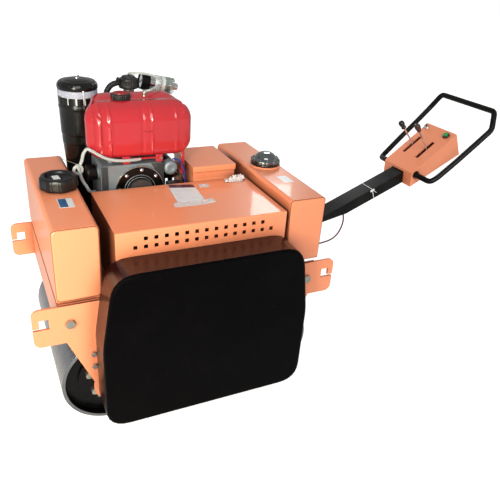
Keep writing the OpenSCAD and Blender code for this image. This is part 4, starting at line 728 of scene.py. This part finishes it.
def intake():
    shape = Shape(RUBBER, MOULDED, ZINC)
    m = at(-76, 635, 0)
    shape.turn([(0, 1085.2), (22, 1085.2), (22, 1112), (0, 1112)], 1, m, 2, 36)
    profile = soften([(0, 1110), (36, 1110), (39, 1113), (39, 1119), (36, 1122), (36, 1138), (38, 1141),
                      (37, 1147), (28, 1151), (25, 1157), (0, 1157)], 2, 3)
    shape.lathe(lobes(profile, lambda r, z: 1121 < z < 1140 and r > 35), m, 1, 144, lugs(24, 2.0, 2.5))
    shape.tube([(-104, 622, 1137), (-122, 616, 1147)], lambda s: 6 if s < 12 else 8, 1, 16)
    shape.turn([(0, 0), (8.5, 0), (8.5, 6), (0, 6)], 1,
               at(-121, 616.3, 1146.6, (-0.84, -0.28, 0.47)), 1, 20)
    path = [(-189.0, 638, 1045)] + soften([(-186, 638, 1045), (-172, 638, 1045), (-168, 637, 1094),
                                           (-146, 636, 1125), (-108, 635, 1133)], 26, 8)
    shape.tube(path, lambda s: 11 + 0.45 * sin(s * 0.9), 0, 20)
    shape.ring([(11, -5), (12.6, -5), (12.6, 5), (11, 5)], 0.5, at(-184, 638, 1045, RIGHT), 2, 32)
    shape.done("intake_pipework", ROOT, ("intake_hose",), sharp=45)


MUFFLER, MUFFLER_TILT, STUB_X = (-31, 635, 1127), 11, 26


def silencer():
    x, y, z = MUFFLER
    m = at(STUB_X, y, z, RIGHT) @ turned(MUFFLER_TILT, "X") @ moved(0, 0, x - STUB_X)
    shape = Shape(CHROME, BLACK_PAINT, SLATS, ZINC, SHIELD)
    shape.turn([(0, 4), (27, 4), (29, 6), (29, 104), (27, 122), (19, 135), (13.5, 138), (13.5, 160),
                (11.4, 160), (11.4, 144), (0, 144)], 4, m, 0, 64, 4)
    shape.turn([(0, 6), (24, 6), (30, 0), (32.6, 0), (32.6, 36), (30, 36), (30, 8), (0, 9)],
               1.5, m, 1, 64)
    # Pale shield plate, then louvred slats up to the dome
    for k in range(-6, 7):
        a = radians(180 + 14 * k)
        shape.box((2.2, 8.6, 42), m @ around(31, a, 58), 4, 0.4)
    for a in spokes(24):
        shape.box((1.4, 5.4, 40), m @ around(30.6, a, 100, 18), 2, 0.4)
    for h in (79, 119):
        shape.ring([(29, h), (32.4, h), (32.4, h + 4), (29, h + 4)], 0.6, m, 2, 64)
    shape.box((7, 7, 5), m @ at(-33, 0, 96), 3, 1)
    shape.tube([(STUB_X, y, DECK), (STUB_X, y, 1104)], 14, 2, 28)
    shape.turn([(0, DECK), (24, DECK), (24, 1091), (0, 1091)], 1, at(STUB_X, y, 0), 3, 6)
    shape.done("silencer_with_shield", ROOT, ("silencer",), sharp=40)


def case_trim():
    """Cooling ribs and the dark gusset on the crankcase's near face, and a bright ring, a painted
    highlight, on the flange's rim.
    """
    shape = Shape(IRON, ZINC)
    for k in range(5):
        shape.box((2.6, 5, 150), at(-247.5 + 5.2 * k, 402.2, 721), 0, 0.8)
    shape.prism([(-36, 40), (16, 40), (16, -44)], 2.4, at(-20, 405, 831, NEAR), 0, 0.6)
    shape.ring([(94.6, -0.6), (97.4, -0.6), (97.4, 1.6), (94.6, 1.6)], 0.4,
               at(CRANK_X, 395, CRANK_Z, NEAR), 1, 96)
    shape.done("crankcase_trim", ROOT)


def grommets():
    """Rubber rings where the handle's loop goes through the control box."""
    shape = Shape(RUBBER)
    for y, way in ((-98.2, NEAR), (98.2, FAR)):
        shape.ring([(13.1, 0), (18.5, 0), (18, 2.6), (15, 3.4), (13.1, 3)], 0.6,
                   HANDLE @ at(685, y, 20, way), 0, 48)
    shape.done("loop_grommets", "handle_body")


def crank_flange():
    shape = Shape(BLACK_PAINT, CHROME, ALUMINIUM)
    m = at(CRANK_X, 405, CRANK_Z, NEAR)
    shape.ring([(15.3, 0), (96.5, 0), (96.9, 7.5), (94, 9.8), (72, 9.8), (69, 7.6), (63, 7.6),
                (60, 9.4), (47, 9.4), (44, 6), (34, 5), (30, 8.5), (15.3, 8.5)], 0.9, m, 0, 128)
    # Light metal rings on the flange's ridges and outer rim, painted highlights along its edges.
    for r, h in ((61.5, 9.9), (52, 9.9), (45.5, 9.8)):
        shape.ring([(r - 1, 5), (r + 1, 5), (r + 1, h), (r - 1, h)], 0.5, m, 2, 96)
    shape.ring([(94.5, 0.2), (98, 0.2), (98, 4.5), (94.5, 4.5)], 0.8, m, 2, 128)
    for a in spokes(8, radians(5)):
        dome = [(9 * cos(radians(q)), 9.4 + 8.6 * sin(radians(q))) for q in range(0, 90, 12)]
        shape.lathe([(0, 8), (9, 8)] + dome + [(0, 18)], m @ at(-82 * cos(a), 82 * sin(a), 0), 1, 24)
    shape.done("crank_flange_turned", ROOT, ("crank_flange",), sharp=40)


def starter():
    x, z = 27.3, 842
    shape = Shape(BLACK_PAINT, ALUMINIUM, ZINC, BROWN)
    m = at(x, 404, z, FAR)
    shape.turn([(0, 3), (9, 3), (10, 0), (17, 0), (25, 3), (28.5, 9), (29, 20), (29.5, 26), (29.5, 40),
                (0, 40)], 2, m, 1, 56, 3)
    shape.turn([(0, 40), (28.5, 40), (28.5, 158), (24, 162), (0, 162)], 2, m, 0, 56)
    shape.ring([(28, 136), (29.8, 136), (29.8, 142), (28, 142)], 0.6, m, 1, 56)
    for a in spokes(3, radians(30)):
        shape.bolt(at(x + 24 * cos(a), 422, z + 24 * sin(a), NEAR), 8, 4, 2)
    s = at(57.3, 450, 806, FAR)
    shape.turn([(0, 0), (17.8, 0), (17.8, 96), (0, 96)], 2, s, 0, 40)
    shape.turn([(0, -5), (12, -5), (14, 1), (0, 1)], 1, s, 3, 32)
    for dx, dz in ((-6, 5), (6, 5)):
        shape.bolt(at(57.3 + dx, 445, 806 + dz, NEAR), 7, 6, 2)
    shape.box((30, 26, 30), at(12, 443, 827), 1, 2)
    shape.done("starter_motor_dressed", ROOT, ("starter_motor",), sharp=40)


FUEL_ROUTE = [(*SPOUT, 1112.3), (-48, 505, 1122), (-27, 508, 1127), (-4, 526, 1131), (24, 556, 1134),
              (44, 590, 1136), (48, 600, 1144), (31, 598, 1154), (10, 600, 1164), (-34, 604, 1172),
              (-64, 622, 1168), (-68, 660, 1160), (-52, 684, 1140), (-28, 682, 1112), (-8, 640, 1094),
              (-6, 598, 1096), (-6, 590, DECK)]


def hoses():
    shape = Shape(CLEAR_HOSE, ZINC)
    shape.tube(flowing(FUEL_ROUTE, 6), 4.6, 0, 14)
    shape.ring([(4.1, 0), (5.4, 0), (5.4, 5), (4.1, 5)], 0.4, at(*SPOUT, 1113), 1, 24)
    shape.done("fuel_return_hose", ROOT, ("fuel_hose",), sharp=50)
    feed = Shape(CLEAR_HOSE)
    loop = [(-333 + 15 * sin(radians(q)), 412 - q * 0.02, 868 + 15 * cos(radians(q)))
            for q in range(30, 390, 30)]
    down = [(-95, 410, 889), (-130, 403, 890), (-170, 400, 892), (-205, 398, 898), (-235, 396, 910),
            (-262, 396, 927), (-284, 398, 942), (-298, 404, 945), (-310, 410, 926), (-316, 412, 902)]
    inward = [(-322, 402, 832), (-306, 401, 800), (-294, 408, 778), (-270, 440, 762)]
    feed.tube(flowing(down + loop + inward, 5), 6.0, 0, 14)
    feed.done("fuel_feed_hose", ROOT, sharp=50)


def oil_filter():
    m = at(-251, 450, 838, LEFT)
    shape = Shape(BLACK_PAINT, ALUMINIUM)
    shape.turn([(0, 0), (25, 0), (25, 4), (21, 5), (21, 9), (0, 9)], 1, m, 1, 48)
    shape.turn([(0, 8.6), (27, 8.6), (30, 10), (30, 40), (27, 47), (16, 49), (0, 49)], 3, m, 0, 96, 4)
    for a in spokes(15):
        shape.box((1.6, 6, 12), m @ around(28.6, a, 34), 0, 0.6)
    shape.done("oil_filter_can", ROOT, ("oil_filter",), sharp=40)


front_lid()
rear_lid()
fuel_tank()
fuel_cap()
air_cleaner()
intake()
silencer()
crank_flange()
starter()
hoses()
oil_filter()
case_trim()
grommets()


# Pieces on the handle and the control box
TRAVEL_W, THROTTLE_W, TRAVEL_LEAN, LEVER_L = 55, -36, -5, 174
BUTTON, KEY, TIE_U = (249, -60, 0), (253, 78, 0), 481


def lever_at(w, lean):
    return BOX @ moved(147, w, -60) @ turned(lean)


KNOBS = (("travel", GLOSSY, "black_gloss", TRAVEL_W, TRAVEL_LEAN,
          soften([(0, 5.8), (4.2, 5.8), (4.2, 0.3), (9, 0.3), (11.5, 4), (11.5, 10), (8, 15), (8, 19),
                  (13.4, 23), (13.4, 38), (10, 43), (0, 44)], 2.4, 4)),
         ("throttle", BROWN, "brown_moulding", THROTTLE_W, 0,
          soften([(0, 5.8), (4.2, 5.8), (4.2, 0.3), (8.5, 0.3), (11, 12), (13.6, 24), (13.6, 34),
                  (10, 42), (0, 44)], 3, 4)))


def knobs():
    for lever, material, slot, w, lean, profile in KNOBS:
        shape = Shape(material)
        shape.lathe(profile, lever_at(w, lean) @ moved(0, 0, LEVER_L - 6), 0, 40)
        shape.done(lever + "_grip", lever + "_lever_body", (lever + "_knob",), sharp=60)


def switches():
    button = BOX @ moved(*BUTTON)
    shape = Shape(GREEN)
    shape.turn([(0, -14), (9.9, -14), (9.9, 10.6), (12.4, 10.8), (12.4, 12.4), (10, 14.4), (0, 15)],
               0.8, button, 0, 40, 4)
    shape.done("start_button_cap", "start_button_body", ("start_button",), sharp=60)
    bezel = Shape(MOULDED)
    bezel.ring([(15.2, 0.2), (16.4, 0.2), (16.2, 4), (15.2, 4.6)], 0.4, button, 0, 48)
    bezel.ring([(10.4, 5.2), (14.6, 5.2), (14, 6.6), (10.6, 7.2)], 0.5, button, 0, 48)
    bezel.done("button_ring", "handle_body")
    key = BOX @ moved(*KEY)
    shape = Shape(CHROME, ZINC)
    shape.turn([(0, -10), (6.9, -10), (6.9, 0.4), (11.8, 0.4), (11.8, 3), (9, 6), (0, 6)],
               0.8, key, 0, 40)
    shape.prism(rounded(20, 15, 6), 2, key @ at(0, 1, 14, NEAR), 1, 0.5)
    shape.box((8, 2, 10), key @ moved(0, 0, 5), 1, 0.3)
    shape.done("key_and_lock", "key_body", ("key_switch",), sharp=40)


def box_details():
    shape = Shape(ORANGE_DARK, GROOVE)
    shape.prism(rounded(148, 184, 6), 1.6, BOX @ moved(184, 0, -90) @ turned(9.8), 0, 0.5)
    # Grooved rims round the two lever slots
    rims = rounded(110, 19, 3) + rounded(106, 15, 2)
    faces = []
    for a in range(24):
        b = (a + 1) % 24
        faces += [[a, b, b + 24, a + 24], [a + 48, a + 72, b + 72, b + 48], [a, a + 48, b + 48, b],
                  [a + 24, b + 24, b + 72, a + 72]]
    for w in (TRAVEL_W, THROTTLE_W):
        shape.take([(x, y, z) for z in (0, 0.5) for x, y in rims], faces, BOX @ moved(137, w, 0.1), 1)
    shape.done("control_box_details", "handle_body")
    tie = Shape(TIE)
    path = soften([(x, y, 0) for x, y in ((-41.5, -26.5), (41.5, -26.5), (41.5, 26.5), (-41.5, 26.5))],
                  5, 4, closed=True)
    round_pole = Matrix(((0, 0, 1, TIE_U), (1, 0, 0, 0), (0, 1, 0, 0), (0, 0, 0, 1)))
    tie.tube(path + [path[0]], 1.7, 0, 8, HANDLE @ round_pole)
    m = HANDLE @ moved(TIE_U, -41, 16)
    tie.box((22, 6, 8), m, 0, 1)
    tie.tube([(0, -2, 4), (4, -12, 1), (8, -20, -3)], 1.1, 0, 6, m)
    tie.done("cable_ties", "handle_body")


# Blank plates, films, tank ends, weld beads and wires
def level(corners, depth, z, shape, mat):
    """A thin flat piece that lies on a level surface."""
    shape.prism(corners, depth, moved(0, 0, z), mat, depth * 0.3, 1)


def quad_point(corners, u, v):
    """A place on a four-cornered plate by its shares along the first and last edges."""
    a, b, c, d = (Vector(p) for p in corners)
    return tuple(a.lerp(b, u).lerp(d.lerp(c, u), v))


def inset_quad(corners, u0, u1, v0, v1):
    return [quad_point(corners, u, v) for u, v in ((u0, v0), (u1, v0), (u1, v1), (u0, v1))]


def plates():
    shape = Shape(PAPER, MAROON, BLUE, ZINC)
    hood_plate = [(-22, 185), (84, 177), (96, 337), (-3, 361)]
    level(hood_plate, 0.9, HOOD_TOP, shape, 0)
    level(inset_quad(hood_plate, 0.01, 0.99, 0.8, 0.99), 0.4, HOOD_TOP + 0.8, shape, 1)
    for u in (0.06, 0.94):
        for v in (0.05, 0.95):
            x, y = quad_point(hood_plate, u, v)
            shape.lathe([(0, 0), (2.2, 0), (1.6, 1.0), (0, 1.3)], at(x, y, HOOD_TOP + 0.7), 3, 16)
    sticker = [(-440, 164), (-390, 161), (-390, 239), (-440, 242)]
    level(sticker, 0.5, TANK_TOP, shape, 0)
    level(inset_quad(sticker, 0.05, 0.58, 0.04, 0.96), 0.3, TANK_TOP + 0.45, shape, 2)
    level([(413, 168), (455, 167), (455, 236), (413, 238)], 0.5, TANK_TOP, shape, 0)
    shape.done("blank_plates", ROOT)


def film(shape, corners, z, height, crumple, seed):
    """A wrinkled clear film as a closed slab over a four-cornered area."""
    nu, nv = 30, 16
    verts = []
    for top in (0, 1):
        for j in range(nv + 1):
            for i in range(nu + 1):
                u, v = i / nu, j / nv
                x, y = quad_point(corners, u, v)
                n = noise.noise(Vector((x * crumple, y * crumple, seed)))
                n += 0.5 * noise.noise(Vector((x * crumple * 2.3, y * crumple * 2.3, seed + 5)))
                rim = min(1.0, 6 * min(u, 1 - u, v, 1 - v) + 0.12)
                verts.append((x, y, z + 0.3 + height * abs(n) * rim + (0.5 if top else 0.0)))
    w, base = nu + 1, (nu + 1) * (nv + 1)
    faces = []
    for j in range(nv):
        for i in range(nu):
            a = j * w + i
            faces += [[a, a + w, a + w + 1, a + 1],
                      [base + a, base + a + 1, base + a + w + 1, base + a + w]]
    edge = [*range(nu), *range(nu, base - 1, w), *range(base - 1, nv * w, -1), *range(nv * w, 0, -w)]
    faces += [[a, b, base + b, base + a] for a, b in zip(edge, edge[1:] + edge[:1])]
    shape.take(verts, faces)


def films():
    shape = Shape(FILM)
    film(shape, [(-46, 145), (64, 140), (66, 178), (-40, 184)], HOOD_TOP, 2.5, 0.05, 1)
    film(shape, [(64, 142), (118, 150), (116, 186), (68, 180)], HOOD_TOP, 4, 0.07, 7)
    film(shape, [(110, 300), (152, 296), (156, 330), (116, 333)], HOOD_TOP, 3, 0.08, 3)
    film(shape, [(228, 322), (304, 318), (326, 352), (240, 362)], HOOD_TOP, 22, 0.045, 11)
    film(shape, [(254, 330), (318, 326), (328, 356), (270, 361)], 796, 34, 0.06, 23)
    shape.done("left_over_film", ROOT, sharp=60)


END_X, END_CORNERS = 423, ((-73.6, 573), (73.6, 573), (73.6, 830), (-73.6, 830))


def tank_ends():
    """End plates of the tanks that stand proud, with folded edges and a joint line round them."""
    shape = Shape(ORANGE, GROOVE)
    for s in (-1, 1):
        for y, way in ((4, NEAR), (686, FAR)):
            shape.prism(rounded(147, 256, 15, 6), 8.5, at(s * END_X, y, 701.5, way), 0, 6.0, 5)
        for y in (0.2, 689.8):
            path = soften([(s * END_X + x, y, z) for x, z in END_CORNERS], 15, 5, closed=True)
            shape.tube(path + [path[0]], 0.7, 1, 8)
    shape.done("tank_end_plates", ROOT)


def bead(shape, path, radius, seed):
    """A weld bead: a tube whose thickness ripples."""
    pts = [Vector(p) for p in path]
    fine = [a.lerp(b, k / 24) for a, b in zip(pts, pts[1:]) for k in range(24)] + [pts[-1]]
    shape.tube(fine, lambda s: radius * (1 + 0.16 * sin(s * 0.9 + seed)), 0, 8)


def welds():
    shape = Shape(ORANGE_DARK)
    for s in (-1, 1):
        for y in (10.5, 679.5):
            bead(shape, [(s * 490, y, 553.5), (s * 360, y, 553.5)], 2.2, s)
        bead(shape, [(s * 350, 12, 571), (s * 350, 676, 571)], 2.2, s + 3)
    bead(shape, [(402, 11, 472), (402, 11, 550)], 2.4, 5)
    bead(shape, [(402, 679, 472), (402, 679, 550)], 2.4, 6)
    for y in (300, 406):
        bead(shape, [(440.5, y, 490), (440.5, y, 536)], 2.6, y)
    shape.done("weld_beads", ROOT)


def wiring():
    shape = Shape(BLUE_WIRE, MOULDED, ZINC)
    for k, (dx, dz) in enumerate(((0, 0), (5, 2), (9, -3))):
        path = [(40 + dx, 432, 872 + dz), (57 + dx, 414, 869 + dz), (70 + dx, 409, 853 + dz),
                (80 + dx, 408, 820 + dz), (85 + dx, 408, 784 + dz), (84 + dx, 412, 745),
                (70 + dx, 430, 690), (62 + dx, 450, 640)]
        shape.tube(flowing(path, 8), 1.8 if k < 2 else 2.4, 0 if k < 2 else 1, 10)
    shape.tube(flowing([(57, 447, 806), (72, 428, 800), (84, 420, 780), (90, 420, 740), (96, 440, 700)],
                       8), 4, 1, 12)
    shape.tube(flowing([(-318, 398, 884), (-340, 480, 872), (-358, 590, 850), (-367, 692, 833.5)],
                       8), 1.0, 2, 6)
    shape.box((64, 58, 74), at(76, 500, 668), 1, 3)
    shape.tube(flowing([(62, 450, 640), (60, 470, 600), (50, 500, 565)], 6), 5, 1, 12)
    shape.done("wires_and_relay", ROOT)


knobs()
switches()
box_details()
plates()
films()
tank_ends()
welds()
wiring()


# Stage. The floor and the world are white to the camera and through clear pieces, and give the
# object a dim, even light.
SKY_LIGHT, FLOOR_GLOW = 0.42, 0.58


def seen_directly(g):
    paths = g.node("LightPath")
    return g.math("ADD", paths.outputs["Is Camera Ray"],
                  paths.outputs["Is Transmission Ray"], clamp=True)


def add_stage():
    world = bpy.data.worlds.new("world")
    SCENE.world = world
    g = Graph(world)
    background = g.tree.nodes["Background"]
    background.inputs["Color"].default_value = (1, 1, 1, 1)
    g.tree.links.new(g.ramp(seen_directly(g), 0, 1, SKY_LIGHT, 1.0), background.inputs["Strength"])

    floor = Graph(bpy.data.materials.new("floor"))
    where = floor.node("TexCoord").outputs["Object"]
    floor.join(floor.mix(floor.noise(where, 3.0), (0.90, 0.90, 0.90, 1), (0.93, 0.93, 0.93, 1)),
               "Base Color")
    floor.join(0.7, "Roughness")
    floor.join(0.1, "Specular IOR Level")
    floor.join((1, 1, 1, 1), "Emission Color")
    floor.join(floor.ramp(seen_directly(floor), 0, 1, 0.0, FLOOR_GLOW), "Emission Strength")
    bm = bmesh.new()
    bmesh.ops.create_circle(bm, cap_ends=True, radius=24, segments=96)
    mesh = bpy.data.meshes.new("floor")
    bm.to_mesh(mesh)
    bm.free()
    mesh.materials.append(floor.owner)
    ground = bpy.data.objects.new("floor", mesh)
    ground.location = place((0, MIDDLE_Y, -0.5))
    SCENE.collection.objects.link(ground)


def aim(ob, target):
    ob.rotation_mode = "QUATERNION"
    ob.rotation_quaternion = (place(target) - ob.location).to_track_quat("-Z", "Y")


def add_lamp(name, where, target, size, tall, power, spread, colour=(1, 1, 1)):
    data = bpy.data.lights.new(name, "AREA")
    data.shape, data.size, data.size_y, data.energy, data.color = "RECTANGLE", size, tall, power, colour
    data.spread = radians(spread)
    lamp = bpy.data.objects.new(name, data)
    lamp.location = place(where)
    aim(lamp, target)
    lamp.visible_camera = False
    SCENE.collection.objects.link(lamp)


def add_lights():
    data = bpy.data.lights.new("sun", "SUN")
    data.energy, data.angle, data.color = 1.65, radians(40), (1.0, 0.985, 0.96)
    sun = bpy.data.objects.new("sun", data)
    sun.location = place((-1500, -3655, 3000))
    aim(sun, (0, MIDDLE_Y, 400))
    SCENE.collection.objects.link(sun)
    add_lamp("left", (-1500, -1600, 1150), (-520, 0, 700), size=0.6, tall=1.5, power=9.5, spread=60,
             colour=(1.0, 0.95, 0.72))
    add_lamp("window", (1400, 1990, 1790), (300, 50, 790), size=0.3, tall=0.3, power=1.3, spread=120)


add_stage()
add_lights()

SCENE.view_settings.view_transform = "Standard"
